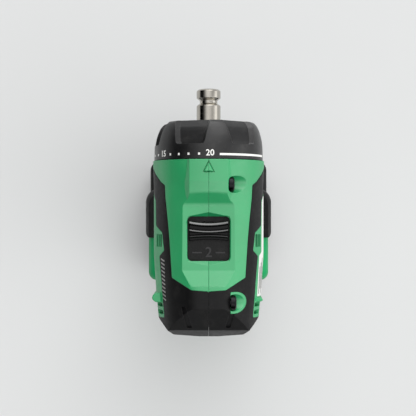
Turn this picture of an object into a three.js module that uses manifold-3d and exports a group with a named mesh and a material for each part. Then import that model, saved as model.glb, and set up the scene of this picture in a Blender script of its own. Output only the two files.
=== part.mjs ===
// A compact 12 V class cordless drill driver with a bare quick-change spindle nose, as an assembly of
// separate pieces. Millimetres, +Z up. The drill stands on its battery: the origin is on that surface,
// at the middle of the outline. The spindle axis runs along +Y, at the height AXIS_Z, nose forward.
import * as THREE from "three";
import { mergeVertices } from "three/addons/utils/BufferGeometryUtils.js";
import Module from "manifold-3d";

const wasm = await Module();
wasm.setup();

// ---------------------------------------------------------------- driving dimensions

const AXIS_Z = 163; // height of the spindle axis
const TIP_Y = 61.9; // front end of the spindle
const REAR_Y = -61.5; // rear end of the motor housing
const RING_Y = 26; // front edge of the housing, where the torque dial starts
const GAP = 0.3; // clearance between neighbouring pieces
const WALL = 3; // housing wall
const SKIN = 1.3; // thickness of the overmoulded rubber
const RECESS = SKIN + GAP; // depth of the bed that the rubber lies in

// Housing section: each facet of the barrel as [direction of its normal in degrees, distance from the axis].
const FACETS = [
  [0, 27.5],
  [27, 26.4],
  [53, 26.0],
  [90, 26.0],
  [-30, 26.6],
  [-60, 26.8],
  [-90, 26.8],
];
const FACET_SHARPNESS = 22; // exponent of the blend between facets: larger is crisper
const RING_RADIUS = 27.7; // round front ring of the housing
// the raised strip behind the pointer
const PLATEAU = { half: 9.2, top: 27.9, bendY: 15.7, dip: 1.1, flare: 0.76, crown: [0.15, 0.75, 1.04] };
// the sunken deck of the speed selector
const DECK = { z: 23.2, front: 3.6, rampY: 5.7, rampZ: 24, frontTop: 9.7, back: -27, backTop: -34.5 };
const WINDOW = { half: 10.2, y0: -22.6, y1: -1.2, r: 2.4 }; // opening for the speed selector

// Gear train: one module, three planets in each stage.
const GEAR = { module: 0.84, sun: 9, planet: 12, ring: 33, planets: 3, addendum: 0.85, dedendum: 1.15 };
const ORBIT = (GEAR.module * (GEAR.sun + GEAR.planet)) / 2;
const CASE_RADIUS = 18.4; // outside of the gear case
const SPINDLE = { r: 6, groove: 4.4, grooveY0: 53.8, grooveY1: 57.5, socket: 6.5, socketDepth: 16 };

const NUT = { r: 19.4, y0: 33.5, y1: 36.5 }; // clutch nut
const HANDLE = [
  // [z, centre y, half width, half depth]
  [60, -14.5, 21, 24],
  [70, -15.5, 17.6, 21.2],
  [84, -15.5, 16.4, 19.8],
  [102, -13.4, 16.6, 19.9],
  [118, -11.4, 17, 20.8],
  [132, -9.6, 17.6, 23.4],
  [150, -8.5, 18.5, 27],
];
const FOOT = [
  // [z, half width, rear y, front y, corner radius]
  [44.5, 36.3, -41, 12, 5],
  [56, 36.3, -41, 12, 5],
  [61, 34.4, -40, 11, 5.5],
  [67, 26, -37.5, 8, 8],
  [73, 17, -33, 4, 9],
];
const PACK = { half: 36, y0: -41, y1: 32, r: 6, split: 24, top: 44.2 }; // battery pack outline
const RAIL = { half: 19, neck: 16.4, neckTop: 47.5, top: 54.8, y0: -20, y1: 13.5 }; // battery slide rail
const CELL = { r: 9.1, length: 65, z: 12.4, y: [-27.6, -8, 11.6] };
const SCREW = { head: 3.6, headHeight: 2.6, shank: 1.5, length: 18, bore: 4.1 };
const SCREWS = [
  // [y, z, x of the head's seat, radius of the boss]
  [14.1, AXIS_Z + 23.4, 9.5, 3.3],
  [-42.4, AXIS_Z + 23.4, 10.4, 3.3],
  [-28.6, 121, 10, 5.2],
  [-24, 80, 9.5, 5.2],
  [3.5, 66.5, 12, 5.2],
  [-29.5, 67.5, 12, 5.2],
];

// ---------------------------------------------------------------- materials

const plastic = (color, roughness) => new THREE.MeshStandardMaterial({ color, roughness, metalness: 0 });
const metal = (color, roughness) => new THREE.MeshStandardMaterial({ color, roughness, metalness: 1 });
const GREEN = plastic(0x1f9d5c, 0.45);
const RUBBER = plastic(0x1c1c1e, 0.75);
const BLACK = plastic(0x242426, 0.5);
const DIAL = plastic(0x2b2b2d, 0.55);
const STEEL = metal(0xb9b7b2, 0.3);
const ALLOY = metal(0xa9abad, 0.45);
const LAMINATION = metal(0x6c6f73, 0.5);
const COPPER = metal(0xb5713a, 0.35);
const BOARD = plastic(0x1b5e3a, 0.5);
const CELL_WRAP = plastic(0x2f6fb3, 0.4);
const LENS = plastic(0xe6eef2, 0.1);
const NYLON = plastic(0xd8d4c8, 0.6);

// ---------------------------------------------------------------- solids from three.js geometry

/** A closed three.js geometry as a solid, faces out. */
function solid(geometry) {
  const loose = geometry.index ? geometry.toNonIndexed() : geometry;
  const bare = new THREE.BufferGeometry().setAttribute("position", loose.getAttribute("position"));
  const merged = mergeVertices(bare, 1e-4);
  const vertProperties = merged.attributes.position.array;
  const made = new wasm.Manifold(
    new wasm.Mesh({ numProp: 3, vertProperties, triVerts: new Uint32Array(merged.index.array) }),
  );
  return made;
}

/** A solid as a three.js geometry. */
function geometryOf(body) {
  const mesh = body.getMesh();
  const geometry = new THREE.BufferGeometry();
  geometry.setAttribute("position", new THREE.BufferAttribute(new Float32Array(mesh.vertProperties), 3));
  geometry.setIndex(new THREE.BufferAttribute(new Uint32Array(mesh.triVerts), 1));
  geometry.computeVertexNormals();
  return geometry;
}

const join = (...bodies) => bodies.reduce((whole, body) => whole.add(body));
const cut = (body, ...tools) => tools.reduce((rest, tool) => rest.subtract(tool), body);

/** A box between two limits on each axis. */
function box(x0, x1, y0, y1, z0, z1) {
  const block = new THREE.BoxGeometry(x1 - x0, y1 - y0, z1 - z0);
  return solid(block.translate((x0 + x1) / 2, (y0 + y1) / 2, (z0 + z1) / 2));
}

/** A round bar along x, y or z; its middle is at centre. */
function bar(axis, radius, length, centre, segments = 20) {
  const shape = new THREE.CylinderGeometry(radius, radius, length, segments);
  if (axis === "x") shape.rotateZ(Math.PI / 2);
  if (axis === "z") shape.rotateX(Math.PI / 2);
  return solid(shape.translate(...centre));
}

/** A body of revolution round the y axis from [radius, y] points, given from its rear end to its front. */
function turned(points, segments = 36) {
  const profile = points.map(([r, y]) => new THREE.Vector2(r, y));
  return solid(new THREE.LatheGeometry(profile, segments));
}

/** A ring round the y axis. */
const ring = (inner, outer, y0, y1, segments = 36) =>
  turned([[inner, y0], [outer, y0], [outer, y1], [inner, y1], [inner, y0]], segments);

/** A disc round the y axis. */
const disc = (radius, y0, y1, segments = 36) =>
  turned([[0, y0], [radius, y0], [radius, y1], [0, y1]], segments);

function shapeOf(points) {
  return new THREE.Shape(points.map(([a, b]) => new THREE.Vector2(a, b)));
}

/** An outline in the xy plane pulled up from z0 to z1. */
function risen(shape, z0, z1, curveSegments = 4) {
  const geometry = new THREE.ExtrudeGeometry(shape, { depth: z1 - z0, bevelEnabled: false, curveSegments });
  return solid(geometry.translate(0, 0, z0));
}

/** An outline drawn as [y, z] and pulled along x. */
function sideways(shape, x0, x1, curveSegments = 4) {
  const geometry = new THREE.ExtrudeGeometry(shape, { depth: x1 - x0, bevelEnabled: false, curveSegments });
  geometry.applyMatrix4(new THREE.Matrix4().set(0, 0, 1, x0, 1, 0, 0, 0, 0, 1, 0, 0, 0, 0, 0, 1));
  return solid(geometry);
}

/** An outline drawn as [x, z] and pulled along y. */
function forward(shape, y0, y1, curveSegments = 8) {
  const geometry = new THREE.ExtrudeGeometry(shape, { depth: y1 - y0, bevelEnabled: false, curveSegments });
  return solid(geometry.rotateX(Math.PI / 2).translate(0, y1, 0));
}

/** A skin through rings of equally many points, closed by a fan at each end. */
function lofted(rings) {
  const count = rings[0].length;
  const positions = [];
  const at = (i, k) => rings[i][k % count];
  const middle = (loop) =>
    loop.reduce((sum, p) => sum.add(p), new THREE.Vector3()).divideScalar(loop.length);
  const put = (...corners) => corners.forEach((p) => positions.push(p.x, p.y, p.z));
  for (let i = 0; i + 1 < rings.length; i++)
    for (let k = 0; k < count; k++) {
      put(at(i, k), at(i, k + 1), at(i + 1, k + 1));
      put(at(i, k), at(i + 1, k + 1), at(i + 1, k));
    }
  const last = rings.length - 1;
  const ends = [middle(rings[0]), middle(rings[last])];
  for (let k = 0; k < count; k++) {
    put(ends[0], at(0, k + 1), at(0, k));
    put(ends[1], at(last, k), at(last, k + 1));
  }
  const geometry = new THREE.BufferGeometry();
  geometry.setAttribute("position", new THREE.Float32BufferAttribute(positions, 3));
  return solid(geometry);
}

/** Corner points of a rounded rectangle at height z, counter-clockwise from above. */
function roundedRing(x0, x1, y0, y1, radius, z, perCorner = 4) {
  const corners = [[x1, y0, -90], [x1, y1, 0], [x0, y1, 90], [x0, y0, 180]];
  return corners.flatMap(([x, y, start]) => {
    const cx = x - Math.sign(x - (x0 + x1) / 2) * radius;
    const cy = y - Math.sign(y - (y0 + y1) / 2) * radius;
    return Array.from({ length: perCorner }, (_, i) => {
      const a = THREE.MathUtils.degToRad(start + (90 * i) / (perCorner - 1));
      return new THREE.Vector3(cx + radius * Math.cos(a), cy + radius * Math.sin(a), z);
    });
  });
}

// ---------------------------------------------------------------- housing form

const blend = (a, b, t) => a + (b - a) * t;

/** Straight interpolation in a table whose first column rises or falls evenly. */
function lookUp(table, key) {
  const i = Math.max(0, table.findIndex((row, k) => k + 1 < table.length && key <= table[k + 1][0]));
  const [a, b] = [table[i], table[i + 1]];
  const t = THREE.MathUtils.clamp((key - a[0]) / (b[0] - a[0]), 0, 1);
  return a.map((value, k) => blend(value, b[k], t));
}

const BARREL_SIZE = [
  // [y, width factor, height factor, share of the round front ring]
  [REAR_Y - 1, 0.88, 1.03, 0],
  [-38, 0.96, 1.03, 0],
  [-20, 1, 1.01, 0],
  [12, 1, 1, 0],
  [20, 1, 1, 0.7],
  [RING_Y, 1, 1, 1],
];

/** A point of the barrel's surface, relative to the axis, at station y and angle a. */
function barrelPoint(y, a, inset) {
  const [, width, height, round] = lookUp(BARREL_SIZE, y);
  const mirrored = Math.cos(a) < 0 ? Math.PI - a : a;
  const sum = FACETS.reduce((total, [normal, distance]) => {
    const facing = Math.cos(mirrored - THREE.MathUtils.degToRad(normal));
    return facing > 0 ? total + (facing / distance) ** FACET_SHARPNESS : total;
  }, 0);
  const faceted = sum ** (-1 / FACET_SHARPNESS);
  const across = blend(width * faceted, RING_RADIUS, round) - inset;
  const up = blend(height * faceted, RING_RADIUS, round) - inset;
  return new THREE.Vector3(across * Math.cos(a), y, AXIS_Z + up * Math.sin(a));
}

/** The barrel's loft, made thinner by inset, from y0 to y1. */
function barrelLoft(inset, y0, y1, segments = 32) {
  const inside = BARREL_SIZE.map(([y]) => y).filter((y) => y > y0 + 1 && y < y1 - 1);
  const rings = [y0, ...inside, y1].map((y) =>
    Array.from({ length: segments }, (_, k) => barrelPoint(y, (-2 * Math.PI * (k + 0.5)) / segments, inset)),
  );
  return lofted(rings);
}

/** Plan outline of the rear end, with its two chamfered corners. */
const planOutline = (inset) =>
  shapeOf([
    [-40, RING_Y + 20],
    [-40, -50],
    [-25.2 + inset, -51 + inset * 0.4],
    [-17.2 + inset * 0.5, -59.6 + inset],
    [0, REAR_Y + inset],
    [17.2 - inset * 0.5, -59.6 + inset],
    [25.2 - inset, -51 + inset * 0.4],
    [40, -50],
    [40, RING_Y + 20],
  ]);

/** Side outline of the rear end: the crown slopes down to the back, the belly tucks in. */
const sideOutline = (inset) =>
  shapeOf([
    [RING_Y + 20, AXIS_Z + 40],
    [-44.8, AXIS_Z + 40],
    [-44.8, AXIS_Z + 26.8 - inset],
    [-56.5 + inset * 0.6, AXIS_Z + 15.5 - inset * 0.6],
    [REAR_Y + 0.5 + inset, AXIS_Z + 3],
    [REAR_Y + inset, AXIS_Z - 9],
    [-59 + inset, AXIS_Z - 18 + inset * 0.5],
    [-51.5 + inset, AXIS_Z - 26 + inset],
    [-46, AXIS_Z - 40],
    [RING_Y + 20, AXIS_Z - 40],
  ]);

/** The space over the sunken deck, to be cut away, lowered by inset for the inner wall. */
const overDeck = (inset, half = 30) =>
  sideways(
    shapeOf([
      [DECK.frontTop + inset * 1.2, AXIS_Z + 34],
      [DECK.frontTop + inset * 1.2, AXIS_Z + PLATEAU.top - PLATEAU.dip - inset],
      [DECK.rampY + inset * 0.9, AXIS_Z + DECK.rampZ - inset],
      [DECK.front + inset * 0.5, AXIS_Z + DECK.z - inset],
      [DECK.back - inset * 0.2, AXIS_Z + DECK.z - inset],
      [DECK.backTop - inset * 0.3, AXIS_Z + 26.2 - inset],
      [DECK.backTop - inset * 0.3, AXIS_Z + 34],
    ]),
    -half,
    half,
  );

/** Raised pointer on the front ring, over which the dial's numbers are read. */
const pointer = () => risen(shapeOf([[-2.3, 20.1], [2.3, 20.1], [0, 24.7]]), AXIS_Z + 20, AXIS_Z + 28.5);

/** The raised strip behind the pointer: a low crown with sloping sides, and a top that dips to the rear. */
function plateau(inset, y1) {
  const base = 20;
  const section = (y, top, rise) => {
    const half = PLATEAU.half - inset * 0.6;
    const crown = [-1, -0.66, -0.33, 0, 0.33, 0.66, 1].map((s) => [s * half, top - inset - rise * s * s]);
    const toe = half + (top - inset - rise - base) * PLATEAU.flare;
    return [...crown, [toe, base], [-toe, base]].map(([x, z]) => new THREE.Vector3(x, y, AXIS_Z + z));
  };
  const { top, dip, bendY, crown } = PLATEAU;
  const slope = dip / (bendY - DECK.frontTop);
  const rear = top - slope * (bendY - 5);
  return lofted([section(5, rear, crown[0]), section(bendY, top, crown[1]), section(y1, top, crown[2])]);
}

/** The motor housing's outer form, thinner by inset. */
function barrel(inset, y0, y1) {
  const plan = risen(planOutline(inset), AXIS_Z - 40, AXIS_Z + 40);
  const ends = plan.intersect(sideways(sideOutline(inset), -40, 40));
  const body = barrelLoft(inset, y0, y1).intersect(ends);
  return cut(join(body, plateau(inset, y1)), overDeck(inset));
}

/** The handle, thinner by inset, as rings of a squared ellipse. */
function handle(inset, z0 = HANDLE[0][0], z1 = HANDLE[HANDLE.length - 1][0], segments = 20) {
  const levels = [z0, ...HANDLE.map(([z]) => z).filter((z) => z > z0 + 1 && z < z1 - 1), z1];
  const power = 2 / 2.5;
  const squared = (v) => Math.sign(v) * Math.abs(v) ** power;
  return lofted(
    levels.map((z) => {
      const [, centre, halfWidth, halfDepth] = lookUp(HANDLE, z);
      return Array.from({ length: segments }, (_, k) => {
        const a = (2 * Math.PI * (k + 0.5)) / segments;
        const x = (halfWidth - inset) * squared(Math.cos(a));
        const y = centre + (halfDepth - inset) * squared(Math.sin(a));
        return new THREE.Vector3(x, y, z);
      });
    }),
  );
}

/** The flared foot over the battery, thinner by inset. */
const foot = (inset, table = FOOT) =>
  lofted(
    table.map(([z, half, rear, front, r], i) => {
      const level = i === table.length - 1 ? z : z - (i === 0 ? 0 : inset * 0.6);
      const corner = Math.max(r - inset, 2);
      return roundedRing(-half + inset, half - inset, rear + inset, front - inset, corner, level);
    }),
  );

/** Chin under the front ring, which holds the lamp. */
const chin = (inset) =>
  sideways(
    shapeOf([
      [RING_Y - inset, AXIS_Z - 20],
      [RING_Y - inset, AXIS_Z - 31.5 + inset],
      [RING_Y - 6, AXIS_Z - 34 + inset],
      [8, AXIS_Z - 30 + inset],
      [-2, AXIS_Z - 20],
    ]),
    -8.5 + inset,
    8.5 - inset,
  );

// ---------------------------------------------------------------- housing shells

/** Where the rubber covers the barrel, as an outline in the yz plane and one in the xy plane. */
const RUBBER_SIDE = [
  [RING_Y - 2.3, -22],
  [19, -17],
  [13, -6],
  [9.5, 2],
  [6.6, 6],
  [-5.8, 6.7],
  [-9.1, 13.2],
  [-17.9, 14.9],
  [-20.8, 10.6],
  [-33.5, 11.6],
  [-50.7, 12],
  [-51.5, -12],
  [REAR_Y - 4, -15],
  [REAR_Y - 4, 36],
  [RING_Y - 2.3, 36],
];
const GREEN_TOP = [
  [26, 19.3],
  [23.2, 15.5],
  [21.2, 13.9],
  [20.9, 7.5],
  [19.7, -3.6],
  [18.9, -12.7],
  [17.7, -30.7],
  [8.2, -36.2],
];

/** The region of the barrel's surface that is covered in rubber; grow widens it. */
function rubberRegion(grow) {
  const side = RUBBER_SIDE.map(([y, z], i) => {
    const open = i >= RUBBER_SIDE.length - 3;
    const front = i === 0 || i === RUBBER_SIDE.length - 1;
    return [y + (front ? grow : 0), AXIS_Z + z - (open ? 0 : grow)];
  });
  const rim = GREEN_TOP.map(([x, y]) => [x - grow, y + grow * 0.3]);
  const front = 23.7 + grow;
  const outline = [[0, -36.8 + grow], ...[...rim].reverse(), [28.2, front], [40, front], [40, -70], [0, -70]];
  const right = risen(shapeOf(outline), AXIS_Z - 40, AXIS_Z + 40);
  const left = right.mirror([1, 0, 0]);
  return sideways(shapeOf(side), -40, 40).intersect(join(right, left));
}

/** Grip region of the handle, between two slanted lines. */
const gripRegion = (grow) =>
  sideways(
    shapeOf([
      [-60, 78 - grow],
      [30, 72 - grow],
      [30, 103 + grow],
      [4, 103 + grow],
      [-3, 124 + grow],
      [-60, 136 + grow],
    ]),
    -40,
    40,
  );

const half = (side, body) =>
  body.intersect(
    side < 0 ? box(-60, -GAP / 2, -90, 90, -10, 260) : box(GAP / 2, 60, -90, 90, -10, 260),
  );

/** Ventilation slots beside the fan and at the rear of the motor, on one side. */
function vents(side) {
  const front = [[25.3, 8.6], [24.3, 10.5], [23.35, 12.4]].map(([x, z]) =>
    box(-8, 12, -16.2, -10, -0.7, 0.7).rotate([0, -50, 0]).translate(x, 0, AXIS_Z + z),
  );
  const rear = [-44.5, -48.2].map((y) => box(15, 40, y - 1, y + 1, AXIS_Z + 3.4, AXIS_Z + 11.3));
  const cuts = join(...front, ...rear);
  return side < 0 ? cuts.mirror([1, 0, 0]) : cuts;
}

/** T-shaped channel in the foot for the battery rail, open to the front. */
const railChannel = (grow) =>
  join(
    box(-RAIL.neck - grow, RAIL.neck + grow, -36, 30, 40, RAIL.neckTop + GAP),
    box(-RAIL.half - grow, RAIL.half + grow, -36, 30, RAIL.neckTop - grow * 0.2, RAIL.top + grow),
  );

const bossBars = () => SCREWS.map(([y, z, , boss]) => bar("x", boss, 60, [0, y, z], 10));

/** Room inside the motor housing. */
function motorRoom() {
  const r = CASE_RADIUS + GAP;
  const round = turned([[0, -58.5], [20.4, -58.5], [22.4, -36], [22.4, 19], [0, 19]], 28);
  const plan = risen(planOutline(WALL), AXIS_Z - 40, AXIS_Z + 40);
  const ends = plan.intersect(sideways(sideOutline(WALL), -40, 40));
  const bore = turned([[0, 18], [r, 18], [r, 22.5], [24.6, 22.5], [24.6, 28], [0, 28]], 28);
  const space = round.translate(0, 0, AXIS_Z).intersect(ends);
  return join(cut(space, overDeck(WALL - 0.6)), bore.translate(0, 0, AXIS_Z));
}

/** Levels of the room inside the foot, like FOOT but lower and closed at the top. */
const FOOT_ROOM = [
  [58.5, 36.3, -41, 12, 5],
  [61, 34.4, -40, 11, 5.5],
  [67, 26, -37.5, 8, 8],
  [71, 19, -34, 5, 9],
];

/** Strakes in front of the rear vents: a full one on the left, a short one behind the label on the right. */
function strakes() {
  const left = shapeOf([[-22, -44], [-22, -38.6], [-26.2, -39.1], [-27.6, -40.6], [-27.6, -42], [-26.2, -43.3]]);
  const right = shapeOf([[22, -43.3], [25.7, -43.1], [26.6, -42.6], [26.6, -41.8], [25.7, -41.3], [22, -41.1]]);
  return [left, right].map((plan) => risen(plan, AXIS_Z - 10, AXIS_Z + 9.5, 1));
}

function housingBody() {
  const outer = join(barrel(0, REAR_Y - 1, RING_Y), pointer(), handle(0), foot(0), chin(0), ...strakes());
  const inner = join(
    motorRoom(),
    handle(WALL - 0.4, 62, 148, 16),
    foot(WALL, FOOT_ROOM),
    box(-5.5, 5.5, 12, 23, AXIS_Z - 31, AXIS_Z - 20),
  );
  const ribs = [[-28, 19.8], [-39, 19.8], [-8.9, 18.7]].map(([y, r]) =>
    ring(r, 25, y - 0.8, y + 0.8, 28).translate(0, 0, AXIS_Z),
  );
  const crossing = cut(
    join(...ribs, ...bossBars()),
    overDeck(WALL - 1.4),
    box(-9, 9, -90, 90, AXIS_Z - 30, AXIS_Z - 12),
  );
  return join(cut(outer, inner), outer.intersect(crossing));
}

/** Round rim that the shell keeps bare of rubber round the rear screw. */
const rearScrewRim = (grow) =>
  bar("x", SCREW.bore + 1.2 + grow, 40, [30.3 - grow, SCREWS[1][0], SCREWS[1][1]], 16);

/** Everything that passes through both halves of the housing. */
const housingCuts = () => [
  cut(
    barrel(-1, REAR_Y - 3, RING_Y + 1),
    barrel(RECESS, REAR_Y - 3, RING_Y + 1),
    rearScrewRim(-GAP),
  ).intersect(rubberRegion(GAP / 2)),
  cut(handle(-3, 62, 145), handle(RECESS, 62, 145)).intersect(gripRegion(GAP / 2)),
  risen(roundedWindow(0), AXIS_Z + 15, AXIS_Z + 40),
  box(-11.1, 11.1, -24.8, 0.7, AXIS_Z + 19.65, AXIS_Z + 21.2),
  box(-5, 5, -18, 8, AXIS_Z + 18, AXIS_Z + 20.7),
  box(-8.9, 8.9, -4, 30, 105.4, 131.2),
  box(-40, 40, -4.6, 6.6, 132, 138.6),
  railChannel(0.5),
  box(-27, 27, -28.9, -2, 55, 60),
  box(-3.9, 3.9, 18, 30, AXIS_Z - 30.2, AXIS_Z - 25.4),
];

/** Outline of the selector window, wider by grow. */
function roundedWindow(grow) {
  const { half: w, y0, y1, r } = WINDOW;
  const shape = new THREE.Shape();
  shape.moveTo(w + grow, y0 + r);
  shape.lineTo(w + grow, y1 - r);
  shape.absarc(w + grow - r, y1 + grow - r, r, 0, Math.PI / 2);
  shape.absarc(-w - grow + r, y1 + grow - r, r, Math.PI / 2, Math.PI);
  shape.absarc(-w - grow + r, y0 - grow + r, r, Math.PI, 1.5 * Math.PI);
  shape.absarc(w + grow - r, y0 - grow + r, r, 1.5 * Math.PI, 2 * Math.PI);
  return shape;
}

/** Screw holes: a clearance hole and a counterbore on the right, a pilot hole on the left. */
const screwHoles = () =>
  SCREWS.flatMap(([y, z, seat]) => [
    bar("x", SCREW.shank + GAP, SCREW.length + 4, [seat + 2 - (SCREW.length + 4) / 2, y, z], 8),
    bar("x", SCREW.bore, 40, [seat + 20, y, z], 16),
  ]);

function housingHalf(side, body) {
  return cut(half(side, body), ...housingCuts(), ...screwHoles(), vents(side));
}

// ---------------------------------------------------------------- overmoulds

/** Two shallow grooves down the rear slope of the rubber. */
function rearGrooves(side) {
  const plan = shapeOf([[side * 10.8, -44.4], [side * 13.2, -44.4], [side * 10.4, -55], [side * 8, -55]]);
  return cut(risen(plan, AXIS_Z + 10, AXIS_Z + 30, 1), barrel(0.6, REAR_Y - 1, RING_Y));
}

function barrelRubber(side) {
  const layer = cut(barrel(0, REAR_Y - 1, RING_Y), barrel(SKIN, REAR_Y - 3, RING_Y + 1));
  const skin = layer.intersect(rubberRegion(-GAP / 2));
  return cut(half(side, skin), ...screwHoles(), rearScrewRim(0), rearGrooves(side));
}

function gripRubber(side) {
  const trigger = box(-12, 12, 4, 40, 100, 140);
  const skin = cut(handle(0, 62, 145), handle(SKIN, 60, 147)).intersect(gripRegion(-GAP / 2));
  const clear = cut(skin, foot(-GAP), barrel(-GAP, REAR_Y - 1, RING_Y), trigger, ...screwHoles());
  return half(side, clear);
}

/** Bumper round the front and the sides of the foot, above the battery. */
function footBumper() {
  const around = (grow, z) => roundedRing(-35.2 - grow, 35.2 + grow, -60, 12.2 + grow, 9, z);
  const outer = lofted([around(2.2, 47), around(2.8, 49.5), around(2.8, 57), around(0.6, 62.5)]);
  const ends = [[60, -10.5], [38, -10.5], [36.6, -15], [-36.6, -15], [-38, -10.5], [-60, -10.5]];
  const rear = shapeOf([[-60, -90], [60, -90], ...ends]);
  return cut(outer, foot(-GAP), risen(rear, 40, 80), box(-19.8, 19.8, 0, 40, 40, 55.6));
}

// ---------------------------------------------------------------- speed selector

const selectorPlate = () =>
  cut(
    box(-10.8, 10.8, -24.5, 0.4, AXIS_Z + 19.95, AXIS_Z + 20.9),
    box(-2.5, 2.5, -12.1, -3.7, AXIS_Z + 18, AXIS_Z + 22),
  );

/** The sliding thumb piece: a plate with three cross ridges and a stem through the slot. */
function selectorKnob() {
  const [y0, y1] = [-12.9, -3.3];
  const z = AXIS_Z + 21.2;
  const ridge = (y, width, height) => box(-9.1, 9.1, y - width / 2, y + width / 2, z + 0.5, z + height);
  return join(
    box(-9.4, 9.4, y0, y1, z, z + 1),
    ridge(y1 - 0.9, 1.6, 3.4),
    ridge(y1 - 4.3, 1.3, 2.8),
    ridge(y0 + 0.8, 1.4, 2.2),
    box(-2.2, 2.2, -5.8, -4, AXIS_Z + 19.9, z + 0.5),
  );
}

/** Yoke: an arm under the knob, a half hoop over the gear case and two pins into the ring gear's groove. */
function shiftYoke() {
  const hoop = ring(18.8, 19.6, 3.3, 4.9, 28).intersect(box(-30, 30, 0, 10, -1.3, 30));
  const pins = [-1, 1].map((side) => bar("x", 0.9, 3.4, [side * 17.4, 4.1, 0], 8));
  return join(hoop, ...pins, box(-1.9, 1.9, -9.6, 4.5, 18.8, 19.6));
}

// ---------------------------------------------------------------- torque dial and clutch

const DIAL_PROFILE = [
  [22.4, 26.3], [27.1, 26.3], [27, 33], [26.4, 37], [25.6, 40.2], [24.6, 42.6], [23.4, 44.4], [21.8, 45.2], [16.6, 45.2],
  [16.6, 42.2], [NUT.r + 0.4, 42.2], [NUT.r + 0.4, 31], [22.4, 30], [22.4, 26.3],
];

/** One finger scallop of the dial: a flat floor that follows the dial's profile, between sloping sides. */
function scallop() {
  const stations = [
    // y, half width and height of the floor
    [33.5, 4.3, 24.1], [34.1, 5.3, 24], [35.6, 5.8, 23.8], [38, 6.15, 23.2], [40, 6.45, 22.5], [42, 6.75, 21.6],
    [43.5, 6.95, 20.3], [46, 7.1, 17.8],
  ];
  const brim = 30;
  return lofted(
    stations.map(([y, half, floor]) => {
      const wide = half + brim - floor;
      const corners = [[-wide, brim], [wide, brim], [half, floor], [-half, floor]];
      return corners.map(([x, z]) => new THREE.Vector3(x, y, z));
    }),
  );
}

/** The dial: a turned cup with six finger scallops open to the front, and four key grooves inside. */
function torqueDial() {
  const scallops = Array.from({ length: 6 }, (_, k) => scallop().rotate([0, 40 + 60 * k, 0]));
  const keyways = Array.from({ length: 4 }, (_, k) =>
    box(-2.3, 2.3, 26, 41.9, NUT.r, NUT.r + 1.7).rotate([0, 45 + 90 * k, 0]),
  );
  return cut(turned(DIAL_PROFILE, 36), ...scallops, ...keyways);
}

/** Threaded nut that the dial carries round and that moves along the nose to load the spring. */
function clutchNut() {
  const keys = Array.from({ length: 4 }, (_, k) =>
    box(-2, 2, NUT.y0, NUT.y1, NUT.r - 0.4, NUT.r + 1.3).rotate([0, 45 + 90 * k, 0]),
  );
  return join(ring(13.8, NUT.r, NUT.y0, NUT.y1, 32), ...keys);
}

/** Clutch spring, wound as a helix round the nose. */
function clutchSpring() {
  const [turns, radius, wire, y0, y1] = [4, 16.4, 0.95, 25.6, 32.2];
  class Helix extends THREE.Curve {
    getPoint(t, target = new THREE.Vector3()) {
      const a = 2 * Math.PI * turns * t;
      return target.set(radius * Math.cos(a), blend(y0, y1, t), radius * Math.sin(a));
    }
  }
  const section = new THREE.Shape(
    Array.from({ length: 5 }, (_, k) => {
      const a = (Math.PI * k) / 2.5;
      return new THREE.Vector2(wire * Math.cos(a), wire * Math.sin(a));
    }),
  );
  return solid(new THREE.ExtrudeGeometry(section, { steps: 11 * turns, extrudePath: new Helix() }));
}

const clutchWasher = () => ring(14, 18.8, 22.6, 24.2, 28);

// ---------------------------------------------------------------- gear train

/** Where the three planets stand, as angles in the xz plane. */
const planetAngles = Array.from(
  { length: GEAR.planets },
  (_, k) => Math.PI / 2 + (2 * Math.PI * k) / GEAR.planets,
);

/** Toothed outline in the xz plane, a tooth centred on the angle turn; a ring gear's teeth point inward. */
function toothedShape(teeth, turn, inward = false) {
  const pitch = (GEAR.module * teeth) / 2;
  const sign = inward ? -1 : 1;
  const tip = pitch + sign * GEAR.addendum * GEAR.module;
  const root = pitch - sign * GEAR.dedendum * GEAR.module;
  const step = (2 * Math.PI) / teeth;
  const corners = [[-0.3, root], [-0.12, tip], [0.12, tip], [0.3, root]];
  const points = Array.from({ length: teeth }, (_, k) =>
    corners.map(([share, r]) => {
      const a = turn + (k + share) * step;
      return new THREE.Vector2(r * Math.cos(a), r * Math.sin(a));
    }),
  );
  return points.flat();
}

const spur = (teeth, turn, y0, y1) => forward(new THREE.Shape(toothedShape(teeth, turn)), y0, y1, 1);

/** Turn of a planet at angle a that meshes with a sun whose first tooth is centred on zero. */
function planetTurn(a) {
  const sunPhase = (a * GEAR.sun) / (2 * Math.PI);
  return a + Math.PI - ((2 * Math.PI) / GEAR.planet) * (0.5 - sunPhase);
}

/** Turn of the ring gear that meshes with the first planet. */
function ringTurn() {
  const a = planetAngles[0];
  const planetPhase = ((a - planetTurn(a)) * GEAR.planet) / (2 * Math.PI);
  return a - ((2 * Math.PI) / GEAR.ring) * (planetPhase - 0.5);
}

function planetGear(index, y0, y1) {
  const a = planetAngles[index];
  return cut(spur(GEAR.planet, planetTurn(a), y0, y1), bar("y", 2.2, 40, [0, 0, 0], 8)).translate(
    ORBIT * Math.cos(a),
    0,
    ORBIT * Math.sin(a),
  );
}

function ringGear(outer, y0, y1) {
  const shape = new THREE.Shape().absarc(0, 0, outer, 0, 2 * Math.PI);
  shape.holes.push(new THREE.Path(toothedShape(GEAR.ring, ringTurn(), true)));
  return forward(shape, y0, y1, 14);
}

/** Ring gear of the first stage, with the groove that the yoke's pins run in. */
const shiftRing = () => cut(ringGear(16.3, 0.6, 7.4), ring(15.4, 20, 2.9, 5.3, 28));

/** Three pins that carry the planets, from y0 to y1. */
const planetPins = (y0, y1) =>
  planetAngles.map((a) => {
    const centre = [ORBIT * Math.cos(a), (y0 + y1) / 2, ORBIT * Math.sin(a)];
    return bar("y", 1.85, y1 - y0, centre, 8);
  });

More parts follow.
